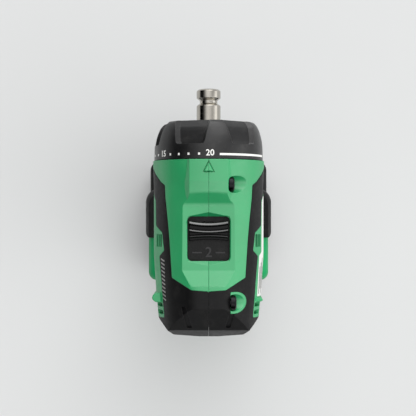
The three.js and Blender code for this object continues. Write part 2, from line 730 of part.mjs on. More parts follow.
/** First carrier: its lugs lie in the gaps of the shift ring, and it carries the second stage's sun. */
function firstCarrier() {
  const step = (2 * Math.PI) / GEAR.ring;
  const lugs = Array.from({ length: 11 }, (_, k) =>
    [[-0.3, 12.7], [-0.18, 14], [0.18, 14], [0.3, 12.7]].map(([share, r]) => {
      const a = ringTurn() + (3 * k + 0.5 + share) * step;
      return new THREE.Vector2(r * Math.cos(a), r * Math.sin(a));
    }),
  );
  return join(
    forward(new THREE.Shape(lugs.flat()), 4, 7.3, 1),
    ...planetPins(-2.6, 4.4),
    spur(GEAR.sun, 0, 7, 14.6),
  );
}

/** Output carrier, with a two-flat hole that drives the spindle. */
const outputCarrier = () =>
  cut(
    join(disc(12.8, 15.2, 18.8, 28), ...planetPins(8.6, 15.6)),
    disc(5.6, 14, 20, 20).intersect(box(-4.6, 4.6, 0, 30, -9, 9)),
  );

/** Gear case: a cup round both stages, stepped down to the threaded nose that carries the bearing. */
function gearCase() {
  const shell = turned([
    [16.6, -6.4], [CASE_RADIUS, -6.4], [CASE_RADIUS, 22.2], [13.4, 22.2], [13.4, 38.2], [11.3, 38.2], [11.3, 22],
    [14.6, 19.6], [16.6, 19.6], [16.6, -6.4],
  ], 30);
  const slots = [-1, 1].map((side) => box(side * 18 - 2.5, side * 18 + 2.5, -3.3, 5.5, -1.4, 1.4));
  return cut(shell, ...slots);
}

const motorBracket = () =>
  cut(
    ring(8.4, CASE_RADIUS, -11.6, -6.8, 28),
    ...Array.from({ length: 6 }, (_, k) => box(-2.4, 2.4, -20, 0, 11, 15).rotate([0, 60 * k, 0])),
  );

/** Spindle: two-flat drive end, clip groove, locking groove and a hexagonal bit socket. */
function spindle() {
  const { r, groove, grooveY0, grooveY1, socket, socketDepth } = SPINDLE;
  const body = turned([
    [0, 15.5], [5.3, 15.5], [5.3, 20], [r, 20.6], [r, 37.2], [4.9, 37.2], [4.9, 38.6], [r, 38.6], [r, grooveY0],
    [groove, grooveY0 + 1.2], [groove, grooveY1 - 1.2], [r, grooveY1], [r, TIP_Y - 1], [r - 1, TIP_Y], [0, TIP_Y],
  ], 20);
  const hex = new THREE.CylinderGeometry(socket / Math.sqrt(3), socket / Math.sqrt(3), socketDepth, 6);
  const flats = [-1, 1].map((side) => box(side * 7.3 - 3, side * 7.3 + 3, 10, 20, -9, 9));
  return cut(body, solid(hex.translate(0, TIP_Y + 0.5 - socketDepth / 2, 0)), ...flats);
}

const spindleBearing = () => ring(SPINDLE.r + GAP, 11, 31, 37, 24);

const spindleClip = () => cut(ring(5.2, 8.2, 37.5, 38.3, 24), box(-1.6, 1.6, 30, 45, 0, 12));

const noseRing = () =>
  turned([[7.2, 38.8], [13.4, 38.8], [13.4, 42.4], [16.2, 42.8], [16.2, 44.2], [14.6, 45], [8.4, 45], [7.2, 38.8]], 28);

// ---------------------------------------------------------------- motor

function stator() {
  const shape = new THREE.Shape().absarc(0, 0, 19.4, 0, 2 * Math.PI);
  const slots = Array.from({ length: 6 }, (_, k) => {
    const at = (degrees, r) => {
      const a = THREE.MathUtils.degToRad(60 * k + degrees);
      return new THREE.Vector2(r * Math.cos(a), r * Math.sin(a));
    };
    const shoe = [at(-24, 12.4), at(0, 12.4), at(24, 12.4), at(26, 13.6), at(12, 13.8)];
    return [...shoe, at(11, 16.8), at(30, 17), at(49, 16.8), at(48, 13.8), at(34, 13.6)];
  });
  shape.holes.push(new THREE.Path(slots.flat()));
  return forward(shape, -43, -25.3, 18);
}

/** Coil ends: six bundles on an insulating ring. */
function winding() {
  const coils = Array.from({ length: 6 }, (_, k) =>
    box(-3.4, 3.4, -25, -21.8, 13.4, 17.6).rotate([0, 60 * k + 30, 0]),
  );
  return join(ring(13.2, 18.2, -25, -23.8, 24), ...coils);
}

const rotor = () => ring(2.8, 11.9, -43, -25.5, 24);

const motorShaft = () => join(disc(2.5, -56.5, -3, 12), spur(GEAR.sun, 0, -3.2, 3.5));

/** Cooling fan: a hub, a back plate and eleven straight blades. */
function fan() {
  const blades = Array.from({ length: 11 }, (_, k) =>
    box(-0.55, 0.55, -20, -14.2, 6, 17.6).rotate([0, (360 / 11) * k, 0]),
  );
  return join(ring(2.8, 6.6, -20.6, -14.2, 16), ring(4, 18, -20.6, -19.4, 22), ...blades);
}

const ballBearing = (y0) => ring(2.8, 8, y0, y0 + 5, 18);
const sensorBoard = () => cut(ring(6, 18.2, -48.4, -47, 22), box(-3, 3, -60, 0, 14, 30));

// ---------------------------------------------------------------- handle parts

/** Trigger: a concave finger face and a shoe that runs back into the handle. */
function trigger() {
  const side = new THREE.Shape();
  side.moveTo(3, 107);
  side.lineTo(14.5, 106.4);
  side.quadraticCurveTo(17.8, 107.5, 16.4, 112);
  side.quadraticCurveTo(13.4, 119, 16.6, 126);
  side.quadraticCurveTo(17.4, 129.8, 14, 130);
  side.lineTo(3, 130);
  const cup = cut(sideways(side, -8.4, 8.4, 3), box(-6.4, 6.4, -5, 5.5, 109, 128));
  return join(cup, box(-2.5, 2.5, -5.8, 6, 116, 122));
}

/** Switch: a block with the socket that the trigger's plunger runs in. */
const switchBody = () => cut(box(-11, 11, -22.9, -5, 103, 131), box(-2.9, 2.9, -13.4, -4, 115.6, 122.4));

/** Direction lever: a cross bar that sticks out of both sides of the housing. */
const directionLever = () =>
  join(box(-19.6, 19.6, -3, 5, 133.2, 137.6), box(-4, 4, -9, -2.5, 133.2, 136));

const controlBoard = () =>
  join(box(-25, 25, -28.6, -4, 58.9, 60.2), box(-15, 15, -26, -10, 60, 63.4));

/** Terminal block of the foot, with three blades towards the battery. */
function terminalBlock() {
  const blades = [-10, 0, 10].map((x) => box(x - 0.5, x + 0.5, -27.6, -14, 49.6, 53.2));
  return join(box(-15.5, 15.5, -35.6, -27.2, 47.8, 55), ...blades);
}

const ledLens = () =>
  join(
    box(-3.5, 3.5, 24, 25.9, AXIS_Z - 29.8, AXIS_Z - 25.8),
    box(-2.4, 2.4, 22, 25, AXIS_Z - 29.4, AXIS_Z - 26.2),
  );
const ledBoard = () => box(-3.2, 3.2, 20.2, 21.6, AXIS_Z - 29.8, AXIS_Z - 25.8);

/** Housing screw: pan head with a six-point recess, and its shank. */
function housingScrew(y, z, seat) {
  const head = bar("x", SCREW.head, SCREW.headHeight, [seat + SCREW.headHeight / 2, y, z], 12);
  const shank = bar("x", SCREW.shank, SCREW.length, [seat + 0.2 - SCREW.length / 2, y, z], 8);
  const recess = bar("x", 1.5, 2.6, [seat + SCREW.headHeight, y, z], 6);
  return cut(join(head, shank), recess).translate(0.3, 0, 0);
}

// ---------------------------------------------------------------- battery

const packRing = (inset, z) =>
  roundedRing(
    -PACK.half + inset, PACK.half - inset, PACK.y0 + inset, PACK.y1 - inset, PACK.r - inset * 0.4, z,
  );

function batteryLowerCase() {
  const outer = lofted([packRing(1.4, 0), packRing(0, 1.6), packRing(0, PACK.split)]);
  const inner = lofted([packRing(2.2, 2.2), packRing(2.2, PACK.split + 1)]);
  return cut(outer, inner);
}

const latchWindow = (side, grow) =>
  box(side > 0 ? 30 : -42, side > 0 ? 42 : -30, -14 - grow, 6 + grow, 29.6 - grow, 40 + grow);

/** Upper case with the slide rail, the slots for the terminals and the two latch windows. */
function batteryUpperCase() {
  const outer = join(
    lofted([packRing(0, PACK.split + GAP), packRing(0, PACK.top - 2), packRing(1.6, PACK.top)]),
    box(-RAIL.neck, RAIL.neck, RAIL.y0, RAIL.y1, PACK.top - 1, RAIL.neckTop + 0.6),
    box(-RAIL.half, RAIL.half, RAIL.y0, RAIL.y1, RAIL.neckTop + 0.5, RAIL.top),
  );
  const inner = lofted([packRing(2.2, PACK.split - 1), packRing(2.2, PACK.top - 2.2)]);
  const slots = [-10, 0, 10].map((x) => box(x - 1, x + 1, RAIL.y0 - 2, -12, 49, 54));
  return cut(outer, inner, ...slots, latchWindow(-1, 0), latchWindow(1, 0));
}

/** Side latch: a ribbed button in its window, held by a flange behind the wall. */
function batteryLatch(side) {
  const [a, b] = [side * 33, side * 37.6].sort((p, q) => p - q);
  const [c, d] = [side * 31.4, side * 33.4].sort((p, q) => p - q);
  return join(box(a, b, -13.7, 5.7, 29.9, 39.7), box(c, d, -15.4, 7.4, 29, 41));
}

const cell = (y) => bar("x", CELL.r, CELL.length, [0, y, CELL.z], 16);

const batteryBoard = () =>
  join(
    box(-28, 28, -34, 20, 24.6, 26),
    ...[-10, 0, 10].map((x) => box(x - 2.2, x + 2.2, -34, -22, 25.8, 33)),
  );

// ---------------------------------------------------------------- assembly

const drill = new THREE.Group();
drill.name = "cordless_drill";

/** Everything that is centred on the spindle axis. */
const axisGroup = new THREE.Group();
axisGroup.position.z = AXIS_Z;
drill.add(axisGroup);

function add(name, body, material, parent = drill) {
  const mesh = new THREE.Mesh(geometryOf(body), material);
  mesh.name = name;
  parent.add(mesh);
}

const housing = housingBody();
for (const [name, side] of [["left", -1], ["right", 1]]) {
  add(`${name}_housing`, housingHalf(side, housing), GREEN);
  add(`${name}_overmould`, barrelRubber(side), RUBBER);
  add(`${name}_grip_rubber`, gripRubber(side), RUBBER);
  add(`battery_latch_${name}`, batteryLatch(side), BLACK);
}
SCREWS.forEach(([y, z, seat], i) => add(`housing_screw_${i + 1}`, housingScrew(y, z, seat), STEEL));
add("foot_bumper", footBumper(), RUBBER);
add("selector_plate", selectorPlate(), BLACK);
add("speed_selector", selectorKnob(), BLACK);
add("shift_yoke", shiftYoke(), STEEL, axisGroup);

add("torque_dial", torqueDial(), DIAL, axisGroup);
add("clutch_nut", clutchNut(), NYLON, axisGroup);
add("clutch_spring", clutchSpring(), STEEL, axisGroup);
add("clutch_washer", clutchWasher(), STEEL, axisGroup);

add("gear_case", gearCase(), ALLOY, axisGroup);
add("motor_bracket", motorBracket(), ALLOY, axisGroup);
add("shift_ring_gear", shiftRing(), STEEL, axisGroup);
add("fixed_ring_gear", ringGear(16.3, 8, 14.8), STEEL, axisGroup);
for (let k = 0; k < GEAR.planets; k++) {
  add(`first_planet_${k + 1}`, planetGear(k, -3, 3.5), STEEL, axisGroup);
  add(`second_planet_${k + 1}`, planetGear(k, 8.2, 14.6), STEEL, axisGroup);
}
add("first_carrier", firstCarrier(), STEEL, axisGroup);
add("output_carrier", outputCarrier(), STEEL, axisGroup);
add("spindle", spindle(), STEEL, axisGroup);
add("spindle_bearing", spindleBearing(), STEEL, axisGroup);
add("spindle_clip", spindleClip(), STEEL, axisGroup);
add("nose_ring", noseRing(), ALLOY, axisGroup);

add("stator", stator(), LAMINATION, axisGroup);
add("winding", winding(), COPPER, axisGroup);
add("rotor", rotor(), LAMINATION, axisGroup);
add("motor_shaft", motorShaft(), STEEL, axisGroup);
add("fan", fan(), BLACK, axisGroup);
add("rear_bearing", ballBearing(-55.8), STEEL, axisGroup);
add("front_bearing", ballBearing(-11.6), STEEL, axisGroup);
add("sensor_board", sensorBoard(), BOARD, axisGroup);

add("trigger", trigger(), BLACK);
add("switch_body", switchBody(), BLACK);
add("direction_lever", directionLever(), BLACK);
add("control_board", controlBoard(), BOARD);
add("terminal_block", terminalBlock(), BLACK);
add("led_lens", ledLens(), LENS);
add("led_board", ledBoard(), BOARD);

add("battery_lower_case", batteryLowerCase(), BLACK);
add("battery_upper_case", batteryUpperCase(), BLACK);
CELL.y.forEach((y, i) => add(`battery_cell_${i + 1}`, cell(y), CELL_WRAP));
add("battery_board", batteryBoard(), BOARD);

export default drill;
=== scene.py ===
import math

import bmesh
import bpy
import numpy as np
from mathutils import Matrix, Vector


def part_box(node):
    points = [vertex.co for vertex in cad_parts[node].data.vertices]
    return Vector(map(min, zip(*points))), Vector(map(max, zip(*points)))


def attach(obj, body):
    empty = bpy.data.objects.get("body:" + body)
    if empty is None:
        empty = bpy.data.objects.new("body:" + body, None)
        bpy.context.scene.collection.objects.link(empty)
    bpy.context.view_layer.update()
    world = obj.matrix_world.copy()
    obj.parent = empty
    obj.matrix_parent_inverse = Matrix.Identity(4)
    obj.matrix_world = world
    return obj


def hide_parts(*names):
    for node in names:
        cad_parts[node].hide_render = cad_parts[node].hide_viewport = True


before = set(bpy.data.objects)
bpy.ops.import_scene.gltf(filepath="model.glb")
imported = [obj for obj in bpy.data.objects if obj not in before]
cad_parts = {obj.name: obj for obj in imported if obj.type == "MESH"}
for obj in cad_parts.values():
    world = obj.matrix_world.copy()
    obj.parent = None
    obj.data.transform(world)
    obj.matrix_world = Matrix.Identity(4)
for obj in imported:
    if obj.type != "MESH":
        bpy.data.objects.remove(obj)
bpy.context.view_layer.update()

MM = 0.001

# ---- sizes, in millimetres unless they say otherwise


def limits(node):
    """Lowest and highest corner of a CAD node, in millimetres."""
    lo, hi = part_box(node)
    return np.array(lo) / MM, np.array(hi) / MM


def middle(node):
    lo, hi = limits(node)
    return (lo + hi) / 2


AXIS_Z = round(float(middle("spindle")[2]), 3)
TIP_Y = float(limits("spindle")[1][1])
RING_Y = float(limits("right_housing")[1][1])
REAR_Y = round(float(limits("left_overmould")[0][1]), 1)
HALF_GAP = 0.04  # half of the parting line that shows between the two shells
SKIN = 1.3
BED = 1.6  # depth of the bed under the rubber
FACETS = [(0, 27.5), (27, 26.4), (53, 26.0), (90, 26.0), (-30, 26.6), (-60, 26.8), (-90, 26.8)]
SHARPNESS = 26
RING_RADIUS = 27.7
PLATEAU_HALF, PLATEAU_TOP, PLATEAU_CROWN = 9.2, 27.9, 1.04
PLATEAU_BEND, PLATEAU_DIP, PLATEAU_FLAT = 15.7, 1.1, 0.15
DECK_FRONT = 9.7
DECK_Z = 23.2
BARREL = np.array([
    # y, width factor, height factor, share of the round front ring
    [REAR_Y - 6, 0.87, 1.03, 0],
    [REAR_Y - 1, 0.88, 1.03, 0],
    [-38, 0.96, 1.03, 0],
    [-20, 1, 1.01, 0],
    [12, 1, 1, 0],
    [20, 1, 1, 0.7],
    [RING_Y, 1, 1, 1],
    [RING_Y + 6, 1, 1, 1],
])
HANDLE = np.array([
    # z, centre y, half width, half depth
    [60, -14.5, 21, 24],
    [70, -15.5, 17.6, 21.2],
    [84, -15.5, 16.4, 19.8],
    [102, -13.4, 16.6, 19.9],
    [118, -11.4, 17, 20.8],
    [132, -9.6, 17.6, 23.4],
    [150, -8.5, 18.5, 27],
])
FOOT = np.array([
    # z, half width, rear y, front y, corner radius
    [44.5, 36.3, -41, 12, 5],
    [56, 36.3, -41, 12, 5],
    [61, 34.4, -40, 11, 5.5],
    [67, 26, -37.5, 8, 8],
    [73, 17, -33, 4, 9],
])
RUBBER_SIDE = [
    (RING_Y - 2.3, -22), (19, -17), (13, -6), (9.5, 2), (6.6, 6), (-5.8, 6.7), (-9.1, 13.2), (-17.9, 14.9),
    (-20.8, 10.6), (-33.5, 11.6), (-50.7, 12.0), (-51.5, -12), (REAR_Y - 4, -15), (REAR_Y - 4, 36),
    (RING_Y - 2.3, 36),
]
GREEN_TOP = [
    (26, 19.3), (23.2, 15.5), (21.2, 13.9), (20.9, 7.5), (19.7, -3.6), (18.9, -12.7), (17.7, -30.7),
    (8.2, -36.2)
]
WINDOW = (10.2, -22.6, -1.2, 2.2)
SCREW_NODES = [f"housing_screw_{k}" for k in range(1, 7)]
SCREWS = [tuple(middle(node)[1:]) + (float(limits(node)[1][0]),) for node in SCREW_NODES]

# ---- mesh tools


def make(name, verts, faces):
    """A mesh object from points in millimetres."""
    mesh = bpy.data.meshes.new(name)
    mesh.from_pydata((np.asarray(verts, float) * MM).tolist(), [], faces)
    mesh.update()
    ob = bpy.data.objects.new(name, mesh)
    bpy.context.scene.collection.objects.link(ob)
    return ob


def drop(*obs):
    for ob in obs:
        mesh = ob.data
        bpy.data.objects.remove(ob)
        if isinstance(mesh, bpy.types.Mesh) and not mesh.users:
            bpy.data.meshes.remove(mesh)


def bake(ob):
    """Applies an object's modifiers."""
    mesh = bpy.data.meshes.new_from_object(ob.evaluated_get(bpy.context.evaluated_depsgraph_get()))
    ob.modifiers.clear()
    old, ob.data = ob.data, mesh
    mesh.name = ob.name
    bpy.data.meshes.remove(old)
    return ob


def boolean(ob, how, *tools, keep=False):
    for tool in tools:
        step = ob.modifiers.new("step", "BOOLEAN")
        step.operation, step.object, step.solver = how, tool, "MANIFOLD"
    bake(ob)
    if not keep:
        drop(*tools)
    return ob


def cut(ob, *tools, keep=False):
    return boolean(ob, "DIFFERENCE", *tools, keep=keep)


def join(ob, *tools):
    return boolean(ob, "UNION", *tools)


def common(ob, *tools, keep=False):
    return boolean(ob, "INTERSECT", *tools, keep=keep)


def copy(ob):
    twin = bpy.data.objects.new(ob.name, ob.data.copy())
    bpy.context.scene.collection.objects.link(twin)
    return twin


def box(x0, x1, y0, y1, z0, z1, name="box"):
    v = [(x, y, z) for x in (x0, x1) for y in (y0, y1) for z in (z0, z1)]
    f = [(0, 1, 3, 2), (4, 6, 7, 5), (0, 4, 5, 1), (2, 3, 7, 6), (0, 2, 6, 4), (1, 5, 7, 3)]
    return make(name, v, f)


def skin(name, rings):
    """A closed loft through rings of equally many points; its ends are flat faces."""
    rings = [np.asarray(r, float) for r in rings]
    n = len(rings[0])
    faces = [
        (i * n + k, i * n + (k + 1) % n, (i + 1) * n + (k + 1) % n, (i + 1) * n + k)
        for i in range(len(rings) - 1)
        for k in range(n)
    ]
    last = (len(rings) - 1) * n
    faces += [tuple(range(n))[::-1], tuple(range(last, last + n))]
    ob = make(name, np.concatenate(rings), faces)
    outward(ob)
    return ob


def outward(ob):
    """Turns every face of a closed mesh outwards."""
    bm = bmesh.new()
    bm.from_mesh(ob.data)
    bmesh.ops.recalc_face_normals(bm, faces=bm.faces)
    bm.to_mesh(ob.data)
    bm.free()
    return ob


def prism(points, axis, lo, hi, name="prism"):
    """A flat outline pulled along an axis; the outline is (y, z), (x, z) or (x, y)."""
    p = np.asarray(points, float)
    rings = []
    for level in (lo, hi):
        full = np.full(len(p), float(level))
        rings.append(np.stack({
            "x": (full, p[:, 0], p[:, 1]), "y": (p[:, 0], full, p[:, 1]), "z": (p[:, 0], p[:, 1], full)
        }[axis], 1))
    return skin(name, rings)


def turned(name, profile, centre=(0, 0, 0), segments=160, axis="y"):
    """A body of revolution from a closed loop of (radius, height) points, or one that starts and ends on the axis."""
    p = [tuple(map(float, q)) for q in profile]
    closed = p[0] != p[-1] and p[0][0] > 1e-6 or p[0] == p[-1]
    if p[0] == p[-1]:
        p = p[:-1]
    a = np.linspace(0, 2 * math.pi, segments, endpoint=False)
    verts, index = [], []
    for r, h in p:
        if r < 1e-6:
            index.append([len(verts)] * segments)
            verts.append((0, h, 0))
        else:
            index.append(list(range(len(verts), len(verts) + segments)))
            verts += [(r * math.cos(t), h, r * math.sin(t)) for t in a]
    faces = []
    pairs = list(zip(index, index[1:])) + ([(index[-1], index[0])] if closed else [])
    for lower, upper in pairs:
        for k in range(segments):
            q = [lower[k], lower[(k + 1) % segments], upper[(k + 1) % segments], upper[k]]
            q = [v for i, v in enumerate(q) if v not in q[:i]]
            if len(q) > 2:
                faces.append(tuple(q))
    v = np.array(verts)
    if axis == "x":
        v = v[:, [1, 0, 2]]
    if axis == "z":
        v = v[:, [0, 2, 1]]
    return outward(make(name, v + np.array(centre, float), faces))


def bar(axis, radius, lo, hi, centre, segments=48, name="bar"):
    """A round bar between two heights on its axis; centre gives the other two coordinates."""
    return turned(name, [(0, lo), (radius, lo), (radius, hi), (0, hi)], centre, segments, axis)


def rounded(x0, x1, y0, y1, r, per=8):
    """Outline of a rounded rectangle, counter-clockwise."""
    out = []
    for cx, cy, start in (
        (x1 - r, y0 + r, -90), (x1 - r, y1 - r, 0), (x0 + r, y1 - r, 90), (x0 + r, y0 + r, 180)
    ):
        for k in range(per):
            a = math.radians(start + 90 * k / (per - 1))
            out.append((cx + r * math.cos(a), cy + r * math.sin(a)))
    return np.array(out)


def at_height(outline, z):
    return np.column_stack([outline, np.full(len(outline), float(z))])


def bevel(ob, width, segments=3, angle=30, profile=0.5):
    step = ob.modifiers.new("edge", "BEVEL")
    step.width, step.segments, step.limit_method = width * MM, segments, "ANGLE"
    step.angle_limit, step.profile, step.harden_normals = math.radians(angle), profile, False
    step.use_clamp_overlap = True
    return bake(ob)


def smooth(ob, angle=32):
    """Smooth shading, with edges sharper than angle left sharp."""
    for face in ob.data.polygons:
        face.use_smooth = True
    ob.data.set_sharp_from_angle(angle=math.radians(angle))
    step = ob.modifiers.new("normals", "WEIGHTED_NORMAL")
    step.keep_sharp, step.weight = True, 60
    return ob


def mirrored(ob):
    """Mirrors a mesh in the plane x = 0."""
    ob.data.transform(Matrix.Diagonal((-1, 1, 1, 1)))
    ob.data.flip_normals()
    return ob


def turned_by(ob, degrees, axis="Y", about=None):
    """Turns a mesh round a line through a point, by default the spindle axis."""
    centre = Vector((0, 0, AXIS_Z) if about is None else about) * MM
    spin = Matrix.Rotation(math.radians(degrees), 4, axis)
    turn = Matrix.Translation(centre) @ spin @ Matrix.Translation(-centre)
    ob.data.transform(turn)
    return ob


def finish_piece(ob, body, material, slot, *nodes, angle=32):
    """Shades a piece, gives it its material and hides the CAD nodes it stands for."""
    smooth(ob, angle)
    ob.data.materials.clear()
    ob.data.materials.append(material)
    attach(ob, body)
    if nodes:
        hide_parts(*nodes)
    return ob


# ---- the housing's outer form

GRID_Y = np.arange(REAR_Y - 6, RING_Y + 6.01, 0.5)
GRID = [
    np.convolve(np.pad(np.interp(GRID_Y, BARREL[:, 0], BARREL[:, c]), 4, "edge"), np.ones(9) / 9, "valid")
    for c in (1, 2, 3)
]


def barrel_ring(y, inset, segments=232):
    """Section of the motor housing at station y: soft facets that turn into a round ring at the front."""
    a = -2 * math.pi * (np.arange(segments) + 0.5) / segments
    width, height, round_ = (np.interp(y, GRID_Y, g) for g in GRID)
    m = np.where(np.cos(a) < 0, math.pi - a, a)
    total = sum(
        (np.clip(np.cos(m - math.radians(normal)), 0, None) / distance) ** SHARPNESS
        for normal, distance in FACETS
    )
    r = total ** (-1 / SHARPNESS)
    across = width * r * (1 - round_) + RING_RADIUS * round_ - inset
    up = height * r * (1 - round_) + RING_RADIUS * round_ - inset
    return np.stack([across * np.cos(a), np.full(segments, y), AXIS_Z + up * np.sin(a)], 1)


def soften(points, radius, per=5):
    """Rounds the corners of a closed outline."""
    p = np.asarray(points, float)
    out = []
    for i in range(len(p)):
        a, b, c = p[i - 1], p[i], p[(i + 1) % len(p)]
        u, v = a - b, c - b
        lu, lv = np.linalg.norm(u), np.linalg.norm(v)
        half = math.acos(np.clip(np.dot(u, v) / (lu * lv), -1, 1)) / 2
        t = min(radius / max(math.tan(half), 1e-6), 0.45 * lu, 0.45 * lv)
        start, end = b + u / lu * t, b + v / lv * t
        for s in np.linspace(0, 1, per):
            out.append((1 - s) ** 2 * start + 2 * (1 - s) * s * b + s**2 * end)
    return np.array(out)


def plan_outline(inset):
    right = [
        (17.2 - inset * 0.5, -59.6 + inset), (25.2 - inset, -51 + inset * 0.4), (40, -50), (40, RING_Y + 20)
    ]
    left = [(-x, y) for x, y in right[::-1]]
    return soften(left + [(0, REAR_Y + inset)] + right, 1.6)


def side_outline(inset):
    z = AXIS_Z
    return soften([
        (RING_Y + 20, z + 40), (-44.8, z + 40), (-44.8, z + 26.8 - inset),
        (-56.5 + inset * 0.6, z + 15.5 - inset * 0.6),
        (REAR_Y + 0.5 + inset, z + 3), (REAR_Y + inset, z - 9), (-59 + inset, z - 18 + inset * 0.5),
        (-51.5 + inset, z - 26 + inset), (-46, z - 40), (RING_Y + 20, z - 40),
    ], 1.6)


def over_deck(inset, half=30):
    """The space over the sunken deck of the speed selector."""
    z = AXIS_Z
    outline = soften([
        (DECK_FRONT + 10.2 + inset * 1.2, z + 34), (5.7 + inset * 0.9, z + 24 - inset),
        (5.1 + inset * 0.8, z + 23.64 - inset),
        (4.4 + inset * 0.7, z + 23.37 - inset), (3.6 + inset * 0.6, z + 23.23 - inset),
        (2.9 + inset * 0.5, z + DECK_Z - inset),
        (-27 - inset * 0.2, z + DECK_Z - inset), (-34.5 - inset * 0.3, z + 26.2 - inset),
        (-34.5 - inset * 0.3, z + 34),
    ], 0.5)
    return prism(outline, "x", -half, half)


def plateau(inset, y1):
    """The raised strip behind the pointer: a low crown with sloping sides, and a top that dips to the rear."""
    slope = PLATEAU_DIP / (PLATEAU_BEND - DECK_FRONT)
    half, base = PLATEAU_HALF - inset * 0.6, 20
    s = np.linspace(-1, 1, 41)
    rings = []
    for y in (5, 8, 11, 13.5, PLATEAU_BEND - 0.3, PLATEAU_BEND, PLATEAU_BEND + 0.3, PLATEAU_BEND + 3, y1):
        top = PLATEAU_TOP - slope * max(PLATEAU_BEND - y, 0)
        crown = np.interp(y, (5, PLATEAU_BEND, y1), (PLATEAU_FLAT, 0.75, PLATEAU_CROWN))
        toe = half + (top - inset - crown - base) * 0.76
        x = np.concatenate([s * half, [toe, -toe]])
        z = np.concatenate([top - inset - crown * s**2, [base, base]])
        rings.append(np.stack([x, np.full(len(x), float(y)), AXIS_Z + z], 1))
    return skin("plateau", rings)


def barrel(inset, y0, y1, step=1.6):
    ys = np.linspace(y0, y1, int((y1 - y0) / step) + 1)
    body = skin("barrel", [barrel_ring(y, inset) for y in ys])
    common(
        body, prism(plan_outline(inset), "z", AXIS_Z - 40, AXIS_Z + 40),
        prism(side_outline(inset), "x", -40, 40)
    )
    return cut(join(body, plateau(inset, y1)), over_deck(inset))


def handle_ring(z, inset, segments=96):
    c, w, d = (np.interp(z, HANDLE[:, 0], HANDLE[:, k]) for k in (1, 2, 3))
    a = 2 * math.pi * (np.arange(segments) + 0.5) / segments
    sq = lambda v: np.sign(v) * np.abs(v) ** 0.8
    return np.stack(
        [(w - inset) * sq(np.cos(a)), c + (d - inset) * sq(np.sin(a)), np.full(segments, float(z))], 1
    )


def handle(inset, z0=60, z1=150, step=3):
    zs = np.linspace(z0, z1, int((z1 - z0) / step) + 1)
    rings = np.array([handle_ring(z, inset) for z in zs])
    for _ in range(2):
        rings[1:-1] = (rings[:-2] + 2 * rings[1:-1] + rings[2:]) / 4
    return skin("handle", list(rings))


def foot(inset, top=73, bottom=44.5):
    zs = np.unique(np.concatenate([[bottom], np.linspace(max(bottom, 54), top, 16)]))
    rings = []
    for z in zs:
        w, rear, front, r = (np.interp(z + inset * 0.6, FOOT[:, 0], FOOT[:, k]) for k in (1, 2, 3, 4))
        rings.append(
            at_height(rounded(-w + inset, w - inset, rear + inset, front - inset, max(r - inset, 2), 10), z)
        )
    rings = np.array(rings)
    rings[1:-1] = (rings[:-2] + 2 * rings[1:-1] + rings[2:]) / 4
    return skin("foot", list(rings))


def chin(inset):
    z = AXIS_Z
    outline = soften([
        (RING_Y - inset, z - 20), (RING_Y - inset, z - 31.5 + inset), (RING_Y - 6, z - 34 + inset),
        (8, z - 30 + inset), (-2, z - 20),
    ], 1.2)
    return bevel(prism(outline, "x", -8.5 + inset, 8.5 - inset), 1.0, 4)


def rubber_region(grow):
    """The part of the barrel that rubber covers, seen from the side and from above; grow widens it."""
    n = len(RUBBER_SIDE)
    side = [
        (y + (grow if i in (0, n - 1) else 0), AXIS_Z + z - (0 if i >= n - 3 else grow))
        for i, (y, z) in enumerate(RUBBER_SIDE)
    ]
    rim = [(x - grow, y + grow * 0.3) for x, y in GREEN_TOP]
    right = [(0, -36.8 + grow), *rim[::-1], (28.2, 23.7 + grow), (40, 23.7 + grow), (40, -70), (0, -70)]
    plan = prism(soften(right, 0.8, 4), "z", AXIS_Z - 40, AXIS_Z + 40)
    whole = join(plan, mirrored(copy(plan)))
    return common(whole, prism(soften(side, 1.0, 4), "x", -40, 40))


def grip_region(grow):
    """The part of the handle that the grip rubber covers."""
    outline = soften([
        (-60, 78 - grow), (30, 72 - grow), (30, 103 + grow), (4, 103 + grow), (-3, 124 + grow),
        (-60, 136 + grow)
    ], 3, 6)
    return prism(outline, "x", -40, 40)


def side_of(sign):
    return box(*((-60, -HALF_GAP) if sign < 0 else (HALF_GAP, 60)), -90, 90, -10, 260)


# ---- housing shells


def screw_bores(extra=0.0, only=None):
    """Counterbores on the right side."""
    found = []
    for k, (y, z, seat) in enumerate(SCREWS):
        if only is None or k in only:
            lip = 4.1 + extra
            side = [(lip - 0.2, seat - 2.9), (lip, seat + 2), (lip + 0.5, 24), (lip + 1.6, 42)]
            found.append(turned("bore", [(0, seat - 2.9), *side, (0, 42)], (0, y, z), 56, "x"))
    return found


def window_tool():
    w, y0, y1, r = WINDOW
    return prism(rounded(-w, w, y0, y1, r, 8), "z", AXIS_Z + 15, AXIS_Z + 40)


def window_chamfer():
    w, y0, y1, r = WINDOW
    low = at_height(rounded(-w, w, y0, y1, r, 8), AXIS_Z + DECK_Z - 0.45)
    top = at_height(rounded(-w - 0.8, w + 0.8, y0 - 0.8, y1 + 0.8, r + 0.6, 8), AXIS_Z + DECK_Z + 0.35)
    return skin("chamfer", [low, top])


def chevrons():
    """Shallow sloped lips in front of and behind the selector's window."""
    w, y0, y1, _ = WINDOW
    tools = []
    for edge, sign, depth in ((y1, 1, 1.5), (y0, -1, 0.95)):
        top = [
            (-w + 0.3, edge), (0, edge + sign * 2.1), (w - 0.3, edge), (w - 0.3, edge - sign * 4),
            (-w + 0.3, edge - sign * 4)
        ]
        low = [
            (-w + 0.3, edge), (0, edge + sign * 0.1), (w - 0.3, edge), (w - 0.3, edge - sign * 4),
            (-w + 0.3, edge - sign * 4)
        ]
        levels = ((low, -depth), (top, 0.05), (top, 3))
        tools.append(skin("chevron", [at_height(np.array(o), AXIS_Z + DECK_Z + z) for o, z in levels]))
    return tools


SIDE_VENTS = [(25.3, 8.6), (24.3, 10.5), (23.35, 12.4)]
REAR_VENTS = (-44.5, -48.2)


